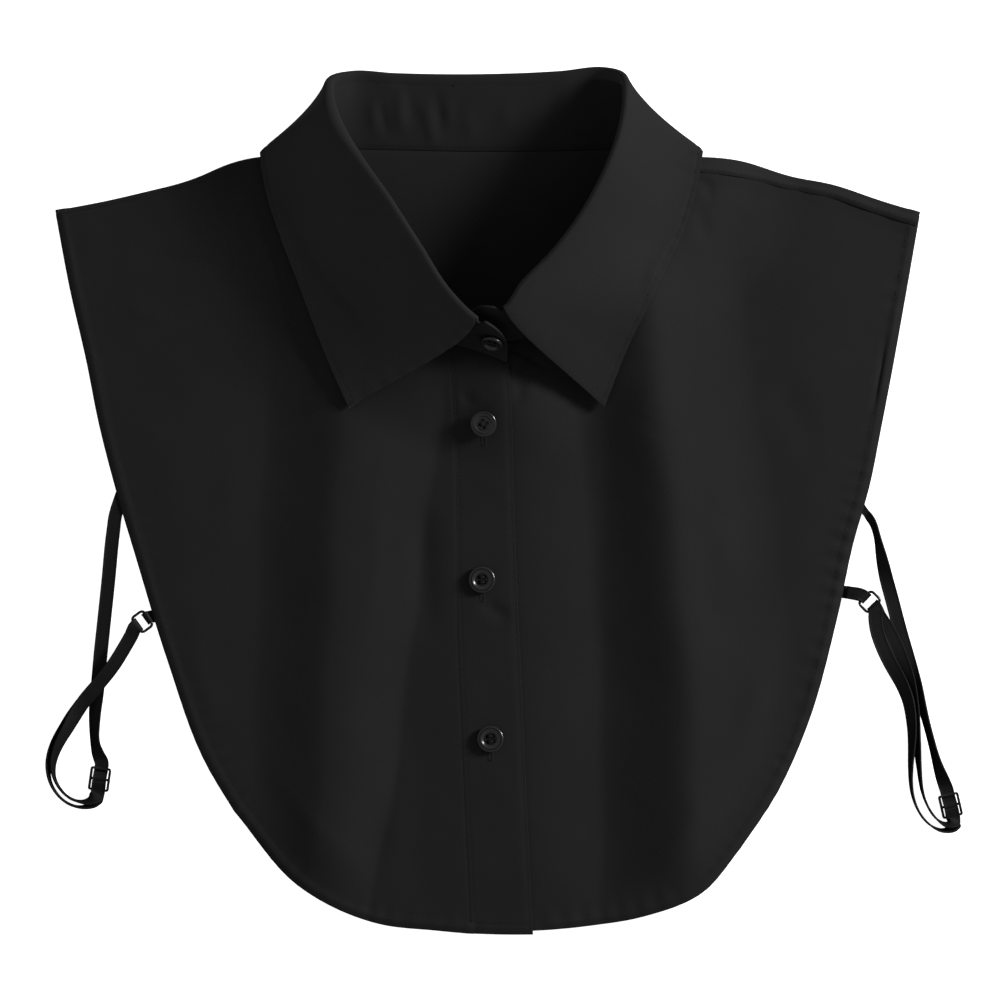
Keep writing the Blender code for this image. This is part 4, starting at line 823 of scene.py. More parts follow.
def woven_poplin():
    """Black mercerised cotton in plain weave: fine ribs, matt with a faint sheen, its dye a little uneven."""
    warp, weft = 0.6, 0.6 * 0.8  # mm; the real spacing is near 0.2, drawn coarser so that it shows
    material, shader = surface("black cotton poplin", Roughness=0.85, Specular_IOR_Level=0.18,
                               Sheen_Weight=0.08, Sheen_Roughness=0.4)
    flat = node(material, "ShaderNodeUVMap", uv_map="cloth").outputs["UV"]
    drift = node(material, "ShaderNodeTexNoise", {"Vector": flat, "Scale": 0.45, "Detail": 2.0})
    uneven = node(material, "ShaderNodeVectorMath", {0: drift.outputs["Color"], 1: (0.9, 0.9, 0), 2: flat},
                  operation="MULTIPLY_ADD")
    weave = crossed(material, uneven.outputs[0], (warp, weft))
    slub = node(material, "ShaderNodeTexNoise", {"Vector": flat, "Scale": 0.8, "Detail": 3.0})
    height = node(material, "ShaderNodeMath", {0: slub.outputs[0], 1: 1.5, 2: weave},
                  operation="MULTIPLY_ADD")
    dye = node(material, "ShaderNodeTexNoise", {"Vector": flat, "Scale": 0.03, "Detail": 4.0})
    return finished(material, shader, dye.outputs[0], "#191919", "#1f1f20", height.outputs[0], strength=0.3,
                    depth=0.05)


POPLIN = woven_poplin()
BACK_COLUMNS, BACK_ROWS, SHOULDER_COLUMNS = 40, 110, 34  # grid spans: at the neck, down the back, a shoulder
TURN_STEPS = 8  # of the fold at a shoulder
STRIP_SHARES = (0.15, 0.35, 0.55, 0.7, 0.8, 0.87, 0.94, 1.0)  # of the way from the fold to the strip's seam
ROW_CROWDING = 0.8  # below 1 it draws the rows of the back together towards its shoulders
INSET_FADE = 1 / 12  # the share of a side, below the shoulder, over which the inset fades out
HANDLED_BACK = 0.06  # height of the back's low waves


def shoulder_turn(edge, side):
    """The back's strip from its shoulder edge up round the fold and forward to the seam."""
    plan = edge[:, :2]
    at_tip, at_neck = FORWARD_SEAM[side]
    if side == "left":
        level, neck, neck_end = over_level, neck_edge(0, LEFT_NECK)[::-1], -1
        width = np.linspace(at_tip, at_neck, len(edge))
    else:
        level, neck, neck_end = front_level, neck_edge(RIGHT_NECK, len(COLLAR) - 1), 0
        width = np.linspace(at_neck, at_tip, len(edge))
    along = unit(np.gradient(plan, axis=0))
    inward = np.stack([along[:, 1], -along[:, 0]], axis=1)
    forward = plan + inward * width[:, None]
    forward[neck_end] = cut(neck, start=at_neck + CORNER_ROOM)[0]
    radius = (level(plan) + CLOTH / 2 - edge[:, 2]) / 2
    shift = unit(plan[1] - plan[0]) * (TURN_SHIFT if side == "right" else -TURN_SHIFT)
    rows = [edge]
    for turn in np.linspace(0, math.pi, TURN_STEPS + 1)[1:]:
        rows.append(np.column_stack([
            plan - inward * (radius * math.sin(turn))[:, None], edge[:, 2] + radius * (1 - math.cos(turn))]))
        rows[-1][neck_end, :2] += shift
    last = rows[-1]
    reach = np.column_stack([forward, level(forward) + CLOTH / 2])
    for share in STRIP_SHARES:
        rows.append(last + (reach - last) * share)
        rows[-1][:, 2] += strip_swell(rows[-1][:, :2]) if side == "right" else 0
    flat = np.array(rows)[..., :2].copy()
    flat += inward[None] * run_of(np.array(rows)[:, len(edge) // 2])[:, None, None]
    return np.dstack([np.array(rows), flat])


def back_panel():
    """The back, with the strip of it that comes forward over each shoulder."""
    seam_line = cut(neck_edge(LEFT_NECK, RIGHT_NECK), count=BACK_COLUMNS + 1)
    left_top = smooth(LEFT_SHOULDER, SHOULDER_COLUMNS + 1)
    right_top = smooth(RIGHT_SHOULDER, SHOULDER_COLUMNS + 1)[::-1]
    for end, row, side in ((0, LEFT_NECK, -1), (-1, RIGHT_NECK, 1)):
        seam_line[end] = collar_rows[row, 3:5] + np.array([side, -1]) * CORNER_ROOM
    left_top[-1], right_top[0] = seam_line[0], seam_line[-1]
    top = np.vstack([left_top[:-1], seam_line, right_top[1:]])
    shares = np.linspace(0, 1, BACK_ROWS + 1) ** ROW_CROWDING
    left = smooth(LEFT_SIDE, 0, shares=shares)
    right = smooth(RIGHT_SIDE, 0, shares=shares)
    tuck = np.minimum(1, (1 - shares) / INSET_FADE)[:, None]
    left = left + (inset(left, -BACK_INSET) - left) * tuck
    right = right + (inset(right, BACK_INSET) - right) * tuck
    hem = smooth(LEFT_HEM[:-1] + PLACKET_HEM[1:2] + RIGHT_HEM[2:], len(top))
    bottom = inset(hem, BACK_INSET)
    bottom[0], bottom[-1] = left[0], right[0]
    plan = four_sided(bottom, top, left, right, np.linspace(0, 1, len(top)), np.linspace(0, 1, BACK_ROWS + 1))
    rim = np.vstack([left[::-1], bottom[1:], right[1:]])
    flat = plan.reshape(-1, 2)
    gap, place = nearest(flat, rim)
    height = back_level(flat) + CLOTH / 2 + sewn_edge(gap, run_at(place, rim))
    panel = on_plan(plan, height + handled(flat, HANDLED_BACK))
    turns = [shoulder_turn(panel[-1][:SHOULDER_COLUMNS + 1, :3], "left"),
             shoulder_turn(panel[-1][-SHOULDER_COLUMNS - 1:, :3], "right")]
    return shell(woven("back", [panel] + turns), turned_hem(rim))


back = fitted(back_panel(), POPLIN, "poplin", "back_panel")

# ------------------------------------------------------------------ fronts and placket
# Two fronts of the same poplin. The over front carries a separate band for the buttonholes, stitched on along
# its edge; the under front runs on beneath it. Both have narrow hems, and both are sewn to the back's strip.
FRONT_ACROSS, FRONT_ALONG, NECK_ALONG = 84, 150, 56  # grid spans: across, up to the neck, beside the neck
FRONT_WIDE, FRONT_OPEN = 150.0, 250.0  # lengths of its hem and open edge, for the grid lines over them
BELOW_NECK = 0.56  # the share of a front's side that lies below its neck
NECK_SHARES = (0.965, 0.974, 0.982, 0.989, 0.995, 1.0)  # the last grid lines of a front beside its neck
SHOULDER_GAP = {"left": 0.06, "right": -1.2}  # between a front and the back's strip; the right one laps under
OPEN_EDGE = {"left": 1.5, "right": 1.0}  # from the placket's stitched edge to a front's edge beneath the band
HANDLED_FRONT, RELIEF_FROM_EDGE = 0.16, 12.0  # height of low waves, and how far from the edge they are full
PLACKET_LONG, PLACKET_SPANS, PLACKET_THICK = 248.0, 130, 0.6
PLACKET_RISE, PLACKET_PRESSED = 0.12, 0.22  # its rise over the front, and how much lower its two edges lie
# Grid lines across the band, from its stitched edge to its free one
PLACKET_LINES = (0, 0.4, 0.9, 1.3, 1.6, 1.9, 2.4, 3.4, 5, 7, 9.5, 12, 14.5, 17, 19.5, 21.5, 23.1, 24.1, 24.6,
                 24.9, 25.2, 25.6, 26.1, 26.5)
PRESSED_LEFT, PRESSED_RIGHT = 1.2, 4.0  # how wide they are pressed down
BAND_STITCH, BAND_PULL = 1.6, 0.6  # distance of the band's stitching from its edges, and width of its furrow
BAND_FURROWS = (0.1, 0.07)  # their depth, at its left and its right edge
RIGHT_PUCKER, RIGHT_FROM, RIGHT_OVER = 1.0, 120.0, 30.0  # the right armhole is drawn up: by, from x, over
# Creases of the fronts: x, y of both ends, bow, half width, height
CREASES = [
    (-11.7, 47.0, -6.0, 39.6, 0.5, 1.9, -0.85), (-4.0, -42.5, 10.0, -52.5, 0.8, 2.6, -0.95),
    (20.5, 82.0, 11.6, 38.0, 0.6, 1.9, -2.0), (-29.0, 6.0, -26.0, -64.0, 0.5, 6.0, -1.1),
    (171.0, 74.0, 164.3, 34.2, 0.3, 0.8, -2.0), (-152.7, 103.0, -116.0, 102.0, 1.0, 2.6, -0.4),
    (-160.0, 84.0, -130.0, 78.0, -1.5, 3.5, 0.3), (176.0, 92.0, 170.0, 58.0, 0.4, 1.2, 0.9),
    (89.5, 138.0, 97.0, 129.0, 0.5, 2.0, -0.8),
    (88.0, 128.0, 93.0, 108.0, 1.0, 3.0, -0.5), (120.0, 60.0, 140.0, 10.0, 3.0, 7.0, -0.4),
    (-110.0, 40.0, -118.0, -40.0, 3.0, 9.0, 0.5), (-40.0, -120.0, -44.0, -176.0, 2.0, 7.0, 0.5),
    (118.0, -60.0, 104.0, -128.0, 2.0, 7.0, 0.6), (-128.0, -50.0, -112.0, -104.0, -2.0, 7.0, 0.5),
    (100.0, 30.0, 108.0, -50.0, -4.0, 8.0, 0.5), (-48.0, 10.0, -52.0, -60.0, 2.0, 5.0, 0.4),
]


def front_relief(plan):
    """What the fronts have over their level: creases, low waves, and the relief of their hems."""
    gap, place = nearest(plan, fronts_outline)
    inside = ease(gap / RELIEF_FROM_EDGE)
    droop = HEM_DROOP * np.clip(1 - gap / HEM_DROOP_WIDTH, 0, 1) ** 1.5
    drawn = 1 + RIGHT_PUCKER * ease((plan[:, 0] - RIGHT_FROM) / RIGHT_OVER)
    return ((soft_lines(plan, CREASES) + handled(plan, HANDLED_FRONT)) * inside
            + sewn_edge(gap, run_at(place, fronts_outline), drawn) - droop + front_swell(plan))


def shoulder_seam(side, shares):
    """Plan line of a front's shoulder edge, from the tip to the neck, just short of the back's strip."""
    line = smooth(LEFT_SHOULDER if side == "left" else RIGHT_SHOULDER, 0, shares=shares)
    at_tip, at_neck = FORWARD_SEAM[side]
    down = inset(line, -1.0 if side == "left" else 1.0) - line
    return line + down * (at_tip + (at_neck - at_tip) * shares[:, None] + SHOULDER_GAP[side])


def front_height(plan, level):
    return level(plan) + CLOTH / 2 + front_relief(plan)


def front(side):
    """A front, from its armhole to its edge under the band. The left one buttons over the right one."""
    is_left = side == "left"
    across = shares_over(FRONT_WIDE, FRONT_ACROSS, low=is_left, high=not is_left)
    lower = shares_over(FRONT_OPEN, FRONT_ALONG, high=False)
    upper = np.concatenate([np.linspace(0, NECK_SHARES[0], NECK_ALONG), NECK_SHARES[1:]])
    along = np.concatenate([lower * BELOW_NECK, BELOW_NECK + (1 - BELOW_NECK) * upper[1:]])
    armhole = smooth(LEFT_SIDE if is_left else RIGHT_SIDE, 0, shares=along)
    hem = smooth(LEFT_HEM if is_left else RIGHT_HEM, 0, shares=across)
    edge = smooth([(x + OPEN_EDGE[side], y) for x, _, y in PLACKET_EDGES], 0, shares=lower)
    corner = FORWARD_SEAM[side][1] + CORNER_ROOM + SHOULDER_GAP[side]
    if is_left:
        neck = neck_edge(0, LEFT_NECK)
        neck = cut(neck, run_at_x(neck, edge[-1][0]), corner, shares=upper)
        top, near, far = shoulder_seam(side, across), -1, 0
    else:
        neck = cut(neck_edge(RIGHT_NECK, len(COLLAR) - 1), corner, shares=1 - upper[::-1])[::-1]
        top, near, far = shoulder_seam(side, 1 - across[::-1])[::-1], 0, -1
    inner = np.vstack([edge[:-1], neck])
    armhole[-1], top[near], hem[near] = top[far], inner[-1], inner[0]
    sides, level = ((armhole, inner), over_level) if is_left else ((inner, armhole), front_level)
    plan = four_sided(hem, top, *sides, across, along)
    height = front_height(plan.reshape(-1, 2), level)
    return shell(woven(f"front_{side}", [on_plan(plan, height)]), turned_hem(fronts_outline))


free_line = smooth([(x, y) for _, x, y in PLACKET_EDGES], 24)


def placket_height(plan):
    """The band's middle: on the over front, with its two rows of stitches drawn in."""
    from_left = plan[:, 0] - x_beside(plan, placket_line)
    from_right = x_beside(plan, free_line) - plan[:, 0]
    furrows = sum(depth * bell(gap - BAND_STITCH, BAND_PULL)
                  for gap, depth in zip((from_left, from_right), BAND_FURROWS))
    pressed = PLACKET_PRESSED * (ease(1 - from_right / PRESSED_RIGHT) + ease(1 - from_left / PRESSED_LEFT))
    rise = PLACKET_RISE * (0.3 + ease(-(plan[:, 1] + 20.0) / 40.0))
    return front_height(plan, over_level) + rise - pressed - furrows


def placket():
    """The buttonhole band along the edge of the over front, up to the foot of the stand."""
    across = np.array(PLACKET_LINES) / PLACKET_LINES[-1]
    along = shares_over(PLACKET_LONG, PLACKET_SPANS, high=False)
    left = smooth([(x, y) for x, _, y in PLACKET_EDGES], 0, shares=along)
    right = smooth([(x, y) for _, x, y in PLACKET_EDGES], 0, shares=along)
    neck = neck_edge(0, LEFT_NECK)
    ends = [run_at_x(neck, x) for x in (right[-1, 0], left[-1, 0])]
    top = cut(neck, ends[0], run_of(neck)[-1] - ends[1], shares=1 - across[::-1])[::-1]
    bottom = smooth(PLACKET_HEM, 0, shares=across)
    left[0], right[0], left[-1], right[-1] = bottom[0], bottom[-1], top[0], top[-1]
    plan = four_sided(bottom, top, left, right, across, along)
    sheet = on_plan(plan, placket_height(plan.reshape(-1, 2)))
    return shell(woven("button_band", [sheet]), thick=PLACKET_THICK)


over = fitted(front("left"), POPLIN, "poplin", "front_over")
under = fitted(front("right"), POPLIN, "poplin", "front_under")
band = fitted(placket(), POPLIN, "poplin", "placket")

# ------------------------------------------------------------------ collar
# A stand and a turned-down leaf, each of two layers of poplin with a fused interlining between, so they keep
# their shape. The leaf is turned right side out and stitched along its edges.
STAND_UNDER_LEAF, STAND_BARE = 4.0, 0.8  # the stand's top is this far below the fold: under the leaf, past it
STAND_STEP_BEFORE, STAND_STEP_WIDTH = 4.0, 3.0  # where it steps up, from the leaf's corner, and over how much
STAND_END_RADIUS = 11.0
STAND_SEWN = 2.5  # over this much of its foot the stand is thin, between the panels' edges
LEAF_FALL, LEAF_EDGE_DIP = 0.6, 0.12  # how far the leaf keeps its spring, and how it slopes to its edge
LEAF_CLEAR, LEAF_HIGH = 0.7, 60.0  # its height over the fronts; its length from fold to edge, for grid lines
ROLL_RADIUS = 1.05
ROLL_SOFT, SOFT_ROW, SOFT_ROWS = 1.9, 6.3, 1.2  # beside the left shoulder the fold opens out: by, at, over
LEAF_SPRINGS = ((1.5, 20.0), (5.0, 24.0))  # the leaf arches up beside its left and right end: height, reach
LEAF_SEAM = 0.6  # the leaf's lower end is sewn this far into the stand
COLLAR_SPANS, STAND_SPANS = 9, 22  # spans between two rows of the collar's table, of the leaf and the stand
STAND_ROWS, LEAF_ROWS, ROLL_ROWS = 24, 40, 9  # up the stand, down the leaf, round its fold
LEAF_STITCH = 2.2  # of the leaf's stitching from its edge
# Upright wrinkles inside the back of the stand: x at its foot, x at its top, half width, height, and the
# shares of the stand's height that it runs from and to
NECK_WRINKLES = [(-47.5, -49.5, 2.4, 0.38, 0.1, 0.9), (-42.0, -46.0, 2.0, -0.36, 0.05, 0.8),
                 (-35.4, -38.0, 2.3, 0.62, 0.15, 1.1), (-30.6, -33.0, 2.0, -0.38, 0.3, 1.0),
                 (-22.6, -27.0, 2.4, 0.66, -0.1, 0.85), (-18.6, -22.0, 1.9, -0.34, 0.2, 1.1),
                 (-15.4, -17.6, 2.0, 0.46, 0.25, 0.95), (-7.0, -10.5, 2.6, 0.36, 0.0, 0.75),
                 (9.0, 7.5, 3.4, 0.35, 0.2, 0.9), (27.0, 29.5, 3.2, -0.4, 0.0, 0.9)]
NECK_WRINKLE_FROM = 145.0  # they lie beyond this y
WRINKLE_FADE = 0.35  # the share of the stand's height over which one fades in and out
STAND_TUCK, TUCK_ROWS = 1.6, 0.9  # at the shoulder seams the stand's foot reaches further in: by, over


def measured(points):
    """A sheet with its own lengths as the cloth's flat measure: across the columns and down the rows."""
    steps = np.linalg.norm(np.diff(points, axis=1), axis=2)
    u = np.concatenate([np.zeros((len(points), 1)), np.cumsum(steps, axis=1)], axis=1)
    u = np.broadcast_to(u.mean(0), u.shape)
    falls = np.linalg.norm(np.diff(points, axis=0), axis=2)
    v = np.concatenate([np.zeros((1, points.shape[1])), np.cumsum(falls, axis=0)])
    return np.dstack([points, u, v])


def normals(points):
    """The direction that a sheet faces at each of its points."""
    return unit(np.cross(np.gradient(points, axis=1), np.gradient(points, axis=0)))


def raised(points, height):
    """A sheet of points moved along its own normals."""
    return points + normals(points) * height[..., None]


def collar_stand():
    """The band round the neck, with rounded ends that overlap at the throat, and the points of its sheet."""
    sections = collar_sections(0, len(COLLAR) - 1, STAND_SPANS)
    up, _ = collar_frames(sections)
    fold, foot = sections[:, :3], sections[:, 3:6]
    run = run_of(fold)
    from_end = np.minimum(run, run[-1] - run)
    short = np.maximum(STAND_END_RADIUS - from_end, 0)
    rounding = STAND_END_RADIUS - np.sqrt(np.maximum(STAND_END_RADIUS**2 - short**2, 0))
    left_half = np.arange(len(run)) < len(run) // 2
    corner = np.where(left_half, run[STAND_SPANS], run[-1] - run[-1 - STAND_SPANS])
    under_leaf = ease((from_end - corner + STAND_STEP_BEFORE) / STAND_STEP_WIDTH)
    top = fold - up * (STAND_BARE + (STAND_UNDER_LEAF - STAND_BARE) * under_leaf + rounding)[:, None]
    shares = np.linspace(0, 1, STAND_ROWS + 1)
    points = foot * (1 - shares[:, None, None]) + top * shares[:, None, None]
    inward = np.zeros(points.shape[:2])
    for x_foot, x_top, width, height, low, high in NECK_WRINKLES:
        middle = x_foot + (x_top - x_foot) * shares + 0.5 * np.sin(5 * shares + x_foot)
        fade = ease((shares - low) / WRINKLE_FADE) * ease((high - shares) / WRINKLE_FADE)
        fade *= np.sin(math.pi * shares) ** 0.5
        inward += height * bell(points[..., 0] - middle[:, None], width) * fade[:, None]
    inward *= points[..., 1] > NECK_WRINKLE_FROM
    sheet = measured(raised(points, inward))
    seen = sheet[..., :3].copy()
    row = np.arange(len(sections)) / STAND_SPANS
    tuck = sum(STAND_TUCK * bell(row - corner_row, TUCK_ROWS) for corner_row in (LEFT_NECK, RIGHT_NECK))
    sheet[0, :, :3] -= up * tuck[:, None]
    return shell(woven("stand", [sheet]), lambda spots: ease(nearest(spots, foot[::4])[0] / STAND_SEWN),
                 thick=POPLIN_LINED), seen


def collar_leaf():
    """The turned-down collar, up from the stand, round the fold and down, and the points of its sheet."""
    sections = collar_sections(LEFT_CORNER, RIGHT_CORNER, COLLAR_SPANS)
    up, out = collar_frames(sections)
    fold, edge, spring = sections[:, :3], sections[:, 6:9].copy(), np.radians(sections[:, 9])
    row = LEFT_CORNER + np.arange(len(sections)) / COLLAR_SPANS
    radius = ROLL_RADIUS + ROLL_SOFT * bell(row[:, None] - SOFT_ROW, SOFT_ROWS)
    centre = fold - up * radius + out * radius
    rows = [fold - up * (STAND_UNDER_LEAF + LEAF_SEAM)]
    for share in np.linspace(0, 1, ROLL_ROWS):
        turn = math.pi + (spring - math.pi) * share
        rows.append(centre + radius * (np.cos(turn)[:, None] * out + np.sin(turn)[:, None] * up))
    start = rows[-1]
    heading = np.sin(spring)[:, None] * out - np.cos(spring)[:, None] * up
    index = np.arange(len(sections))
    neck_left, neck_right = [(row - LEFT_CORNER) * COLLAR_SPANS for row in (LEFT_NECK, RIGHT_NECK)]
    on_front = (index < neck_left) | (index > neck_right)
    behind = (index > neck_left) & (index < neck_right)
    is_left = index < len(sections) // 2

    def front_top(plan):
        level = np.where(is_left, over_level(plan), front_level(plan))
        return level + CLOTH + LEAF_CLEAR + INTERLINED / 2

    edge[:, 2] = np.where(on_front, front_top(edge[:, :2]), edge[:, 2])
    reach = np.linalg.norm(edge - start, axis=1)[:, None]
    flat = unit((edge - start) * [1, 1, 0]) - np.where(on_front, LEAF_EDGE_DIP, 0)[:, None] * [0, 0, 1]
    inside_neck = back_neck[:, 1].min()
    run = run_of(fold)
    lift = sum(height * bell(gap, width) for gap, (height, width) in zip((run, run[-1] - run), LEAF_SPRINGS))
    falls = np.linspace(0, 1, LEAF_ROWS + 1)[1:]
    near_edge = 1 - np.array(EDGE_LINES[:9])[::-1] / LEAF_HIGH
    for s in np.concatenate([falls[falls < near_edge[0] - 0.01], near_edge]):
        at_start, leaving, at_edge, arriving = blend(s)
        point = (at_start * start + leaving * reach * LEAF_FALL * heading
                 + at_edge * edge + arriving * reach * flat)
        low = front_top(point[:, :2])
        high = back_level(point[:, :2]) - SEAM - INTERLINED / 2
        z = np.where(on_front, np.maximum(point[:, 2], low), point[:, 2])
        z = np.where(behind & (point[:, 1] < inside_neck), np.minimum(z, np.maximum(high, INTERLINED / 2)), z)
        point[:, 2] = np.maximum(z, INTERLINED / 2) + lift * math.sin(math.pi * s)
        rows.append(point)
    points = np.array(rows)
    rim = np.vstack([points[ROLL_ROWS:, 0], points[-1, 1:], points[ROLL_ROWS:-1, -1][::-1]])
    gap, place = nearest(points.reshape(-1, 3), rim)
    along = run_at(place, rim)
    waves = PUCKER_HIGH * np.sin(2 * math.pi * along / PUCKER_LONG + 2.0 * np.sin(along / 17.0))
    relief = -STITCH_SINK * bell(gap - LEAF_STITCH, STITCH_PULL) + waves * bell(gap, PUCKER_WIDE)
    sheet = measured(raised(points, relief.reshape(points.shape[:2])))
    return shell(woven("leaf", [sheet]), thick=POPLIN_LINED), sheet[..., :3]


stand_made, stand_points = collar_stand()
stand = fitted(stand_made, POPLIN, "poplin", "collar_stand")
leaf_made, leaf_points = collar_leaf()
leaf = fitted(leaf_made, POPLIN, "poplin", "collar_leaf")

# ------------------------------------------------------------------ stitching
# Lockstitch in black mercerised thread, about ten stitches to 25 mm: round the hems, down both edges of the
# button band, along the right shoulder's strip, round the collar. Each stitch is a bead sunk in its furrow.
STITCH_PITCH, STITCH_LONG, STITCH_THICK = 2.6, 2.0, 0.28
STITCH_BURIED = 0.05  # how far a stitch's middle lies below the face of the cloth
STRIP_STITCH, FOOT_STITCH = 1.1, 1.8  # distance from the shoulder seam, and from the stand's foot
SEAM_POINTS, SLOPE_STEP = 700, 0.5  # points round an outline, and half the span that a slope is measured over


def sewing_thread():
    """Mercerised cotton thread: black, with more shine than the cloth, so its stitches catch the light."""
    material, shader = surface("black sewing thread", Roughness=0.6, Specular_IOR_Level=0.2)
    where = node(material, "ShaderNodeTexCoord").outputs["Object"]
    twist = node(material, "ShaderNodeTexNoise", {"Vector": where, "Scale": 1 / (0.6 * MM), "Detail": 1.0})
    return finished(material, shader, twist.outputs[0], "#131313", "#1e1e1e")


THREAD = sewing_thread()


def bead(bm, spot, way, up, size):
    """Adds a rounded stitch at a spot. Its size is its length along way, its width, its height along up."""
    axes = np.column_stack([way * size[0] / 2, np.cross(up, way) * size[1] / 2, up * size[2] / 2, spot])
    matrix = Matrix.Diagonal((MM, MM, MM, 1)) @ Matrix(np.vstack([axes, (0, 0, 0, 1.0)]).tolist())
    bmesh.ops.create_icosphere(bm, subdivisions=2, radius=1, matrix=matrix)


def sewn(name, bm):
    """The finished object of a bmesh of thread."""
    return fitted(meshed(name, bm), THREAD, "poplin")


def stitches(name, runs):
    """One object of stitches along runs, each of points and the directions that the cloth faces there."""
    bm = bmesh.new()
    for points, facing in runs:
        run = run_of(points)
        count = int(run[-1] / STITCH_PITCH)
        at = (np.arange(count) + 0.5) / count * run[-1]
        ways = np.gradient(points, axis=0)
        spots, ways, ups = [sampled(at, run, values) for values in (points, ways, facing)]
        for spot, way, up in zip(spots, unit(ways), unit(ups)):
            bead(bm, spot, way, up, (STITCH_LONG, STITCH_THICK, STITCH_THICK))
    return sewn(name, bm)


def on_cloth(plan, height, wall, side=1):
    """A run of stitches on a cloth whose middle has a height over the plan: on top, or below for side -1."""
    step = SLOPE_STEP
    slope_x = (height(plan + (step, 0)) - height(plan - (step, 0))) / (2 * step)
    slope_y = (height(plan + (0, step)) - height(plan - (0, step))) / (2 * step)
    facing = np.column_stack([-slope_x, -slope_y, np.ones(len(plan))]) * side
    return np.column_stack([plan, height(plan) + (wall / 2 - STITCH_BURIED) * side]), facing


def over_height(plan):
    return front_height(plan, over_level)


def under_height(plan):
    return front_height(plan, front_level)


def strip_height(plan):
    return front_level(plan) + CLOTH / 2 + strip_swell(plan)


def back_height(plan):
    return back_level(plan) + CLOTH / 2


hem_line = inset(cut(fronts_outline, count=SEAM_POINTS), HEM_STITCH)
is_over = hem_line[:, 0] < x_beside(hem_line, placket_line)
is_under = hem_line[:, 0] > x_beside(hem_line, free_line)
left_stitches = stitches("left_hem_stitches", [on_cloth(hem_line[is_over], over_height, POPLIN_HEMMED)])
right_stitches = stitches("right_hem_stitches", [on_cloth(hem_line[is_under], under_height, POPLIN_HEMMED)])
band_lines = [cut(inset(line, gap), count=300) for line, gap in ((placket_line, -BAND_STITCH),
                                                                 (free_line, BAND_STITCH))]
band_lines.append(hem_line[~is_over & ~is_under])
band_stitches = stitches("band_stitches",
                         [on_cloth(line, placket_height, PLACKET_THICK) for line in band_lines])
back_line = inset(cut(fronts_outline, count=SEAM_POINTS), BACK_INSET + HEM_STITCH)
strip_line = inset(right_shoulder, FORWARD_SEAM["right"][1] - STRIP_STITCH)[2:-4]
back_stitches = stitches("back_stitches", [on_cloth(back_line, back_height, POPLIN_HEMMED, side=-1),
                                           on_cloth(strip_line, strip_height, POPLIN_THIN)])


def run_inside(points, facing, distance, wall):
    """A run of stitches on a sheet, at a distance from its last row, on the side that it faces."""
    columns = np.swapaxes(np.dstack([points, facing]), 0, 1)[:, ::-1]
    found = np.vstack([sampled(distance, run_of(column[:, :3]), column) for column in columns])
    return found[:, :3] + unit(found[:, 3:]) * (wall / 2 - STITCH_BURIED), found[:, 3:]


def edge_runs(points, distance, wall, ends):
    """Runs of stitches along the last row of a sheet, and down its first and last columns past the ends."""
    facing = normals(points)
    runs = [run_inside(points[:, 2:-2], facing[:, 2:-2], distance, wall)]
    for side in (slice(None, None, -1), slice(None)):
        turned = [np.swapaxes(values[ends:-4, side], 0, 1) for values in (points, facing)]
        runs.append(run_inside(*turned, distance, wall))
    return runs


leaf_stitches = stitches("leaf_stitches", edge_runs(leaf_points, LEAF_STITCH, POPLIN_LINED, ROLL_ROWS + 2))
inner = normals(stand_points)
foot_runs = [run_inside(stand_points[::-1, 6:-6], way[::-1, 6:-6], FOOT_STITCH, POPLIN_LINED)
             for way in (inner, -inner)]
stand_stitches = stitches("stand_stitches", foot_runs)

# ------------------------------------------------------------------ buttonholes and buttons
# Buttonholes are cut along the band and overcast. Buttons are turned from black polyester rod: four holes, a
# rounded rim, a dished middle and a high polish. Each is sewn on with two bars of thread.
BUTTON_DIAMETER, COLLAR_BUTTON_DIAMETER = 11.5, 10.0
BUTTON_STEPS, BUTTON_CREASE = 72, math.radians(50)  # round its rim, and the turn that shows as an edge
BUTTONS = [(-1.7, 32.9), (-2.4, -33.6), (1.2, -101.6)]  # down the placket: x, y
HOLE_RADIUS, HOLE_FROM_MIDDLE, HOLE_STEPS, DRILL_LONG = 0.8, 1.55, 20, 7.8
# Half of a button's section, from the middle of its back to the middle of its dish: share of radius, height
BUTTON_PROFILE = [(0, -0.8), (0.3, -0.92), (0.62, -0.86), (0.86, -0.5), (0.97, -0.02), (1.0, 0.3),
                  (0.985, 0.6), (0.94, 0.84), (0.88, 1.0), (0.8, 1.06), (0.72, 1.0), (0.65, 0.8), (0.58, 0.5),
                  (0.52, 0.28), (0.46, 0.2), (0.38, 0.24), (0.3, 0.2), (0.15, 0.16), (0, 0.16)]
BUTTON_BACK, BUTTON_CLEAR = 0.92, 0.12  # from a button's middle to its back, and from there to the cloth
# A bar of thread over a button: share of the way to its holes, height, and the offsets of its three turns
THREAD_OVER = [(-1.0, -0.6), (-0.95, 0.3), (-0.6, 0.62), (0, 0.7), (0.6, 0.62), (0.95, 0.3), (1.0, -0.6)]
THREAD_TURNS, THREAD_RADIUS, BEAD_OVERLAP = (-0.28, 0.0, 0.28), 0.17, 0.62  # a bead's half length per span
# A buttonhole: its length, how far its middle is below the button's, half the distance between its two rows
# of overcasting, their pitch and stitch, and the stitch of the bars at its ends
BUTTONHOLE_LONG, BUTTONHOLE_BELOW, BUTTONHOLE_HALF, OVERCAST_PITCH = 14.0, 3.0, 0.72, 0.5
OVERCAST, OVERCAST_BAR = (1.15, 0.44, 0.4), (2.7, 0.44, 0.46)


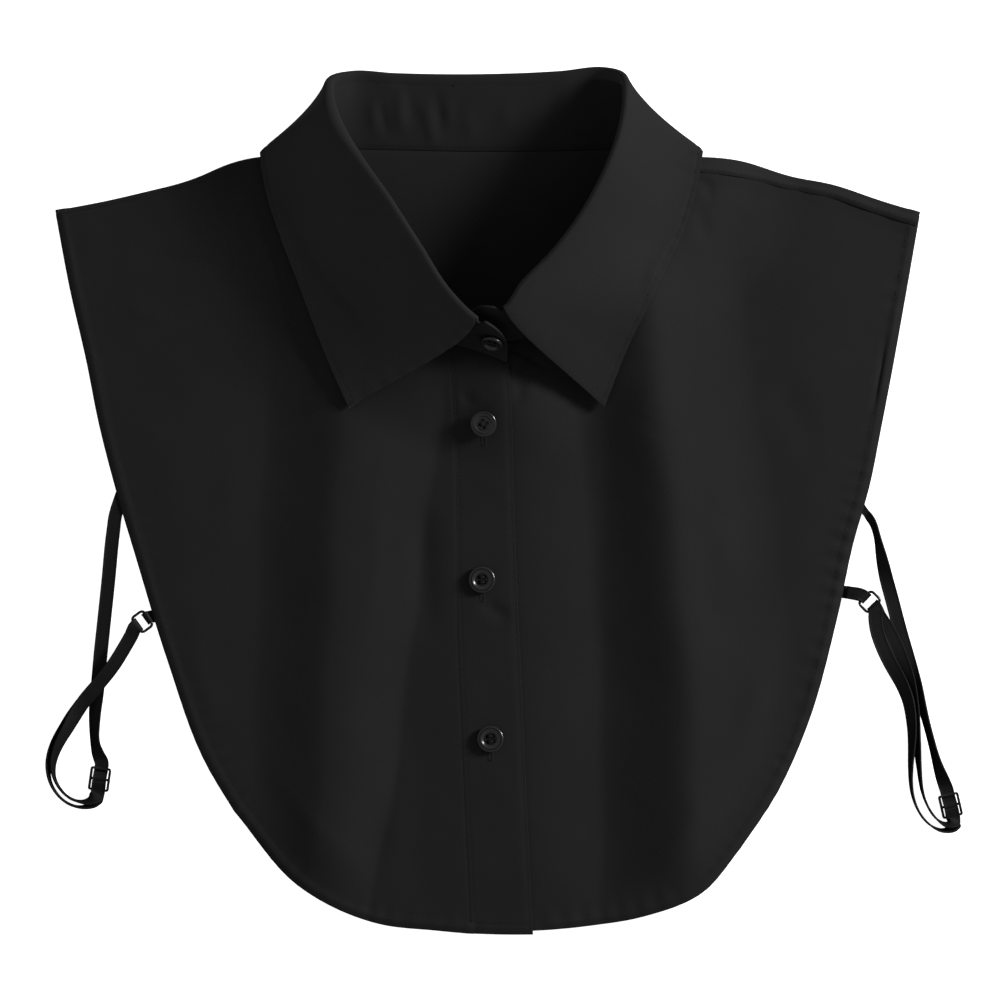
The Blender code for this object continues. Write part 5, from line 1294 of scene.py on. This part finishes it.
def polished_resin():
    """Polyester resin, turned and tumbled: a wet black gloss with faint turning marks."""
    material, shader = surface("black polyester resin", Roughness=0.25, IOR=1.5, Coat_Weight=0.2,
                               Coat_Roughness=0.05)
    where = node(material, "ShaderNodeTexCoord").outputs["Object"]
    cloudy = node(material, "ShaderNodeTexNoise", {"Vector": where, "Scale": 1 / (3 * MM), "Detail": 3.0})
    share = cloudy.outputs[0]
    return finished(material, shader, share, "#121213", "#1e1e1f", share, strength=0.25, depth=0.04)


RESIN = polished_resin()


def button(name, place, facing, diameter):
    """A turned four-hole button at a place, facing the given way, and the transform that put it there."""
    bm = bmesh.new()
    verts = [bm.verts.new((share * diameter / 2 * MM, 0, z * MM)) for share, z in BUTTON_PROFILE]
    edges = [bm.edges.new(pair) for pair in zip(verts, verts[1:])]
    bmesh.ops.spin(bm, geom=verts + edges, cent=(0, 0, 0), axis=(0, 0, 1), steps=BUTTON_STEPS,
                   angle=2 * math.pi, use_merge=True)
    bmesh.ops.remove_doubles(bm, verts=bm.verts, dist=SAME_PLACE * MM)
    bmesh.ops.recalc_face_normals(bm, faces=bm.faces)
    obj = meshed(name, bm, rounded=False)
    bm = bmesh.new()
    for turn in np.radians((45, 135, 225, 315)):
        centre = (HOLE_FROM_MIDDLE * math.cos(turn) * MM, HOLE_FROM_MIDDLE * math.sin(turn) * MM, 0)
        bmesh.ops.create_cone(bm, cap_ends=True, segments=HOLE_STEPS, radius1=HOLE_RADIUS * MM,
                              radius2=HOLE_RADIUS * MM, depth=DRILL_LONG * MM,
                              matrix=Matrix.Translation(centre))
    drill = meshed(name + "_drill", bm, rounded=False)
    pierced = obj.modifiers.new("holes", "BOOLEAN")
    pierced.object, pierced.operation = drill, "DIFFERENCE"
    bpy.context.view_layer.update()
    holed = bpy.data.meshes.new_from_object(obj.evaluated_get(bpy.context.evaluated_depsgraph_get()))
    obj.modifiers.clear()
    bpy.data.objects.remove(drill)
    obj.data = holed
    holed.shade_smooth()
    holed.set_sharp_from_angle(angle=BUTTON_CREASE)
    turned = Vector(facing).to_track_quat("Z", "Y").to_matrix().to_4x4()
    lies = Matrix.Translation([value * MM for value in place]) @ turned
    holed.transform(lies)
    return obj, lies


def cord_of_thread(bm, points, radius):
    """Adds a chain of rounded beads along points, as twisted thread that crosses a button."""
    for a, b in zip(points, points[1:]):
        way = Vector(b) - Vector(a)
        turned = way.to_track_quat("Z", "Y").to_matrix().to_4x4()
        spot = Matrix.Translation((Vector(a) + Vector(b)) / 2) @ turned
        stretch = Matrix.Diagonal((radius, radius, way.length * BEAD_OVERLAP, 1))
        bmesh.ops.create_icosphere(bm, subdivisions=2, radius=1, matrix=spot @ stretch)


def button_thread(name, lies):
    """Two bars of thread over a button, each of three turns between a pair of its holes."""
    bm = bmesh.new()
    reach = HOLE_FROM_MIDDLE * math.sqrt(0.5)
    for side in (-1, 1):
        for turn in THREAD_TURNS:
            points = [((side * reach + turn) * MM, y * reach * MM, z * MM) for y, z in THREAD_OVER]
            cord_of_thread(bm, [lies @ Vector(point) for point in points], THREAD_RADIUS * MM)
    return sewn(name, bm)


def buttonhole(bm, line, facing):
    """A buttonhole along a line: two rows of overcasting with a slit between, and a bar at each end."""
    run = run_of(line)
    spots = sampled(np.arange(OVERCAST_PITCH, run[-1], OVERCAST_PITCH), run, line)
    way, up = unit(line[-1] - line[0]), unit(facing)
    side = np.cross(up, way)
    for spot in spots:
        for sign in (-1, 1):
            bead(bm, spot + side * BUTTONHOLE_HALF * sign, side, up, OVERCAST)
    for spot in (spots[0], spots[1], spots[-2], spots[-1]):
        bead(bm, spot, side, up, OVERCAST_BAR)


buttonholes = bmesh.new()
for number, (x, y) in enumerate(BUTTONS, 1):
    step = BUTTON_DIAMETER / 3  # the cloth is measured beneath a button's middle and at this step from it
    around = np.array([(x, y), (x + step, y), (x - step, y), (x, y + step), (x, y - step)])
    z = placket_height(around) + PLACKET_THICK / 2
    facing = np.array([(z[2] - z[1]) / (2 * step), (z[4] - z[3]) / (2 * step), 1])
    place = (x, y, z.max() + BUTTON_CLEAR + BUTTON_BACK)
    disc, lies = button(f"shirt_button_{number}", place, facing, BUTTON_DIAMETER)
    fitted(disc, RESIN, "buttons", f"button_{number}")
    button_thread(f"button_thread_{number}", lies)
    along = y - BUTTONHOLE_BELOW + np.linspace(-BUTTONHOLE_LONG / 2, BUTTONHOLE_LONG / 2, 12)
    line, ways = on_cloth(np.column_stack([np.full(len(along), x), along]), placket_height, PLACKET_THICK)
    buttonhole(buttonholes, line, ways.mean(0))
band_buttonholes = sewn("band_buttonholes", buttonholes)
sections = collar_sections(0, LEFT_CORNER, FACE_SPANS)
_, out = collar_frames(sections)
middle = (sections[:, :3] + sections[:, 3:6]) / 2
centre = FACE_SPANS // 2
place = middle[centre] + out[centre] * (POPLIN_LINED / 2 + BUTTON_CLEAR + BUTTON_BACK)
disc, lies = button("stand_button", place, out[centre], COLLAR_BUTTON_DIAMETER)
fitted(disc, RESIN, "buttons", "collar_button")
button_thread("stand_button_thread", lies)
buttonholes = bmesh.new()
buttonhole(buttonholes, (middle + out * POPLIN_LINED / 2)[1:], out[centre])
stand_buttonhole = sewn("stand_buttonhole", buttonholes)

# ------------------------------------------------------------------ the cut
# Each cloth's flat measure is read from its mesh's UV map.


def cut_flat(obj):
    """Reads a cloth's flat measure from its mesh's UV map."""
    mesh = obj.data
    flat = np.empty(len(mesh.loops) * 2, np.float32)
    mesh.uv_layers["cloth"].uv.foreach_get("vector", flat)
    flat = flat.reshape(-1, 2)


cut_flat(back)
cut_flat(over)
cut_flat(under)
cut_flat(band)
cut_flat(stand)
cut_flat(leaf)

# ------------------------------------------------------------------ floor and light
# White paper under the garment, which shines by itself and casts no light, so that it stays white round black
# cloth. A soft lamp low on the right draws the folds, a weak one on the left serves the leaf's far side, and
# the sky is even, but dark straight above, so that glossy faces stay black.
FLOOR_HALF, FLOOR_DROP, LAMP_DISTANCE = 4.0, 0.0004, 1.8  # metres, as are the lamps' sizes
bm = bmesh.new()
bmesh.ops.create_grid(bm, x_segments=1, y_segments=1, size=FLOOR_HALF)
floor = meshed("floor", bm, rounded=False)
floor.location.z = -FLOOR_DROP
floor.visible_diffuse = floor.visible_glossy = False
paper, shader = surface("white paper", Roughness=0.9, Specular_IOR_Level=0.1, Emission_Strength=1.0)
shader.inputs["Base Color"].default_value = linear("#f2f2f2")
shader.inputs["Emission Color"].default_value = (1, 1, 1, 1)
floor.data.materials.append(paper)


def lamp(name, heading, height, size, power):
    """A square soft lamp, aimed at the middle of the garment. Heading and height are angles in degrees."""
    light = bpy.data.lights.new(name, "AREA")
    light.shape, light.size, light.energy = "SQUARE", size, power
    obj = linked(name, light)
    rise = math.radians(height)
    away = Vector((*(toward(heading) * math.cos(rise)), math.sin(rise)))
    obj.location = away * LAMP_DISTANCE
    obj.rotation_mode = "QUATERNION"
    obj.rotation_quaternion = away.to_track_quat("Z", "Y")
    return obj


lamp("key", 22, 24.5, size=0.42, power=36)
glow = lamp("glow", 205, 20, size=1.0, power=8.5)
collar_only = bpy.data.collections.new("collar leaf")
for obj in (leaf, leaf_stitches):
    collar_only.objects.link(obj)
glow.light_linking.receiver_collection = collar_only
SKY, SKY_OVERHEAD = 0.33, 0.05
DARK_FROM, DARK_FULL = math.radians(35), math.radians(15)  # from straight above: it darkens, it is dark
world = bpy.data.worlds.new("sky")
world.use_nodes = True
way = node(world, "ShaderNodeSeparateXYZ", {0: node(world, "ShaderNodeTexCoord").outputs["Generated"]})
overhead = node(world, "ShaderNodeMapRange", {0: way.outputs["Z"], 1: math.cos(DARK_FROM),
                                              2: math.cos(DARK_FULL), 3: SKY, 4: SKY_OVERHEAD},
                interpolation_type="SMOOTHSTEP")
above = node(world, "ShaderNodeMath", {0: way.outputs["Z"], 1: 0.0}, operation="GREATER_THAN")
strength = node(world, "ShaderNodeMath", {0: overhead.outputs[0], 1: above.outputs[0]}, operation="MULTIPLY")
backdrop = world.node_tree.nodes["Background"].inputs
backdrop["Color"].default_value = (1, 1, 1, 1)
world.node_tree.links.new(strength.outputs[0], backdrop["Strength"])
bpy.context.scene.world = world
bpy.context.scene.view_settings.view_transform = "Standard"
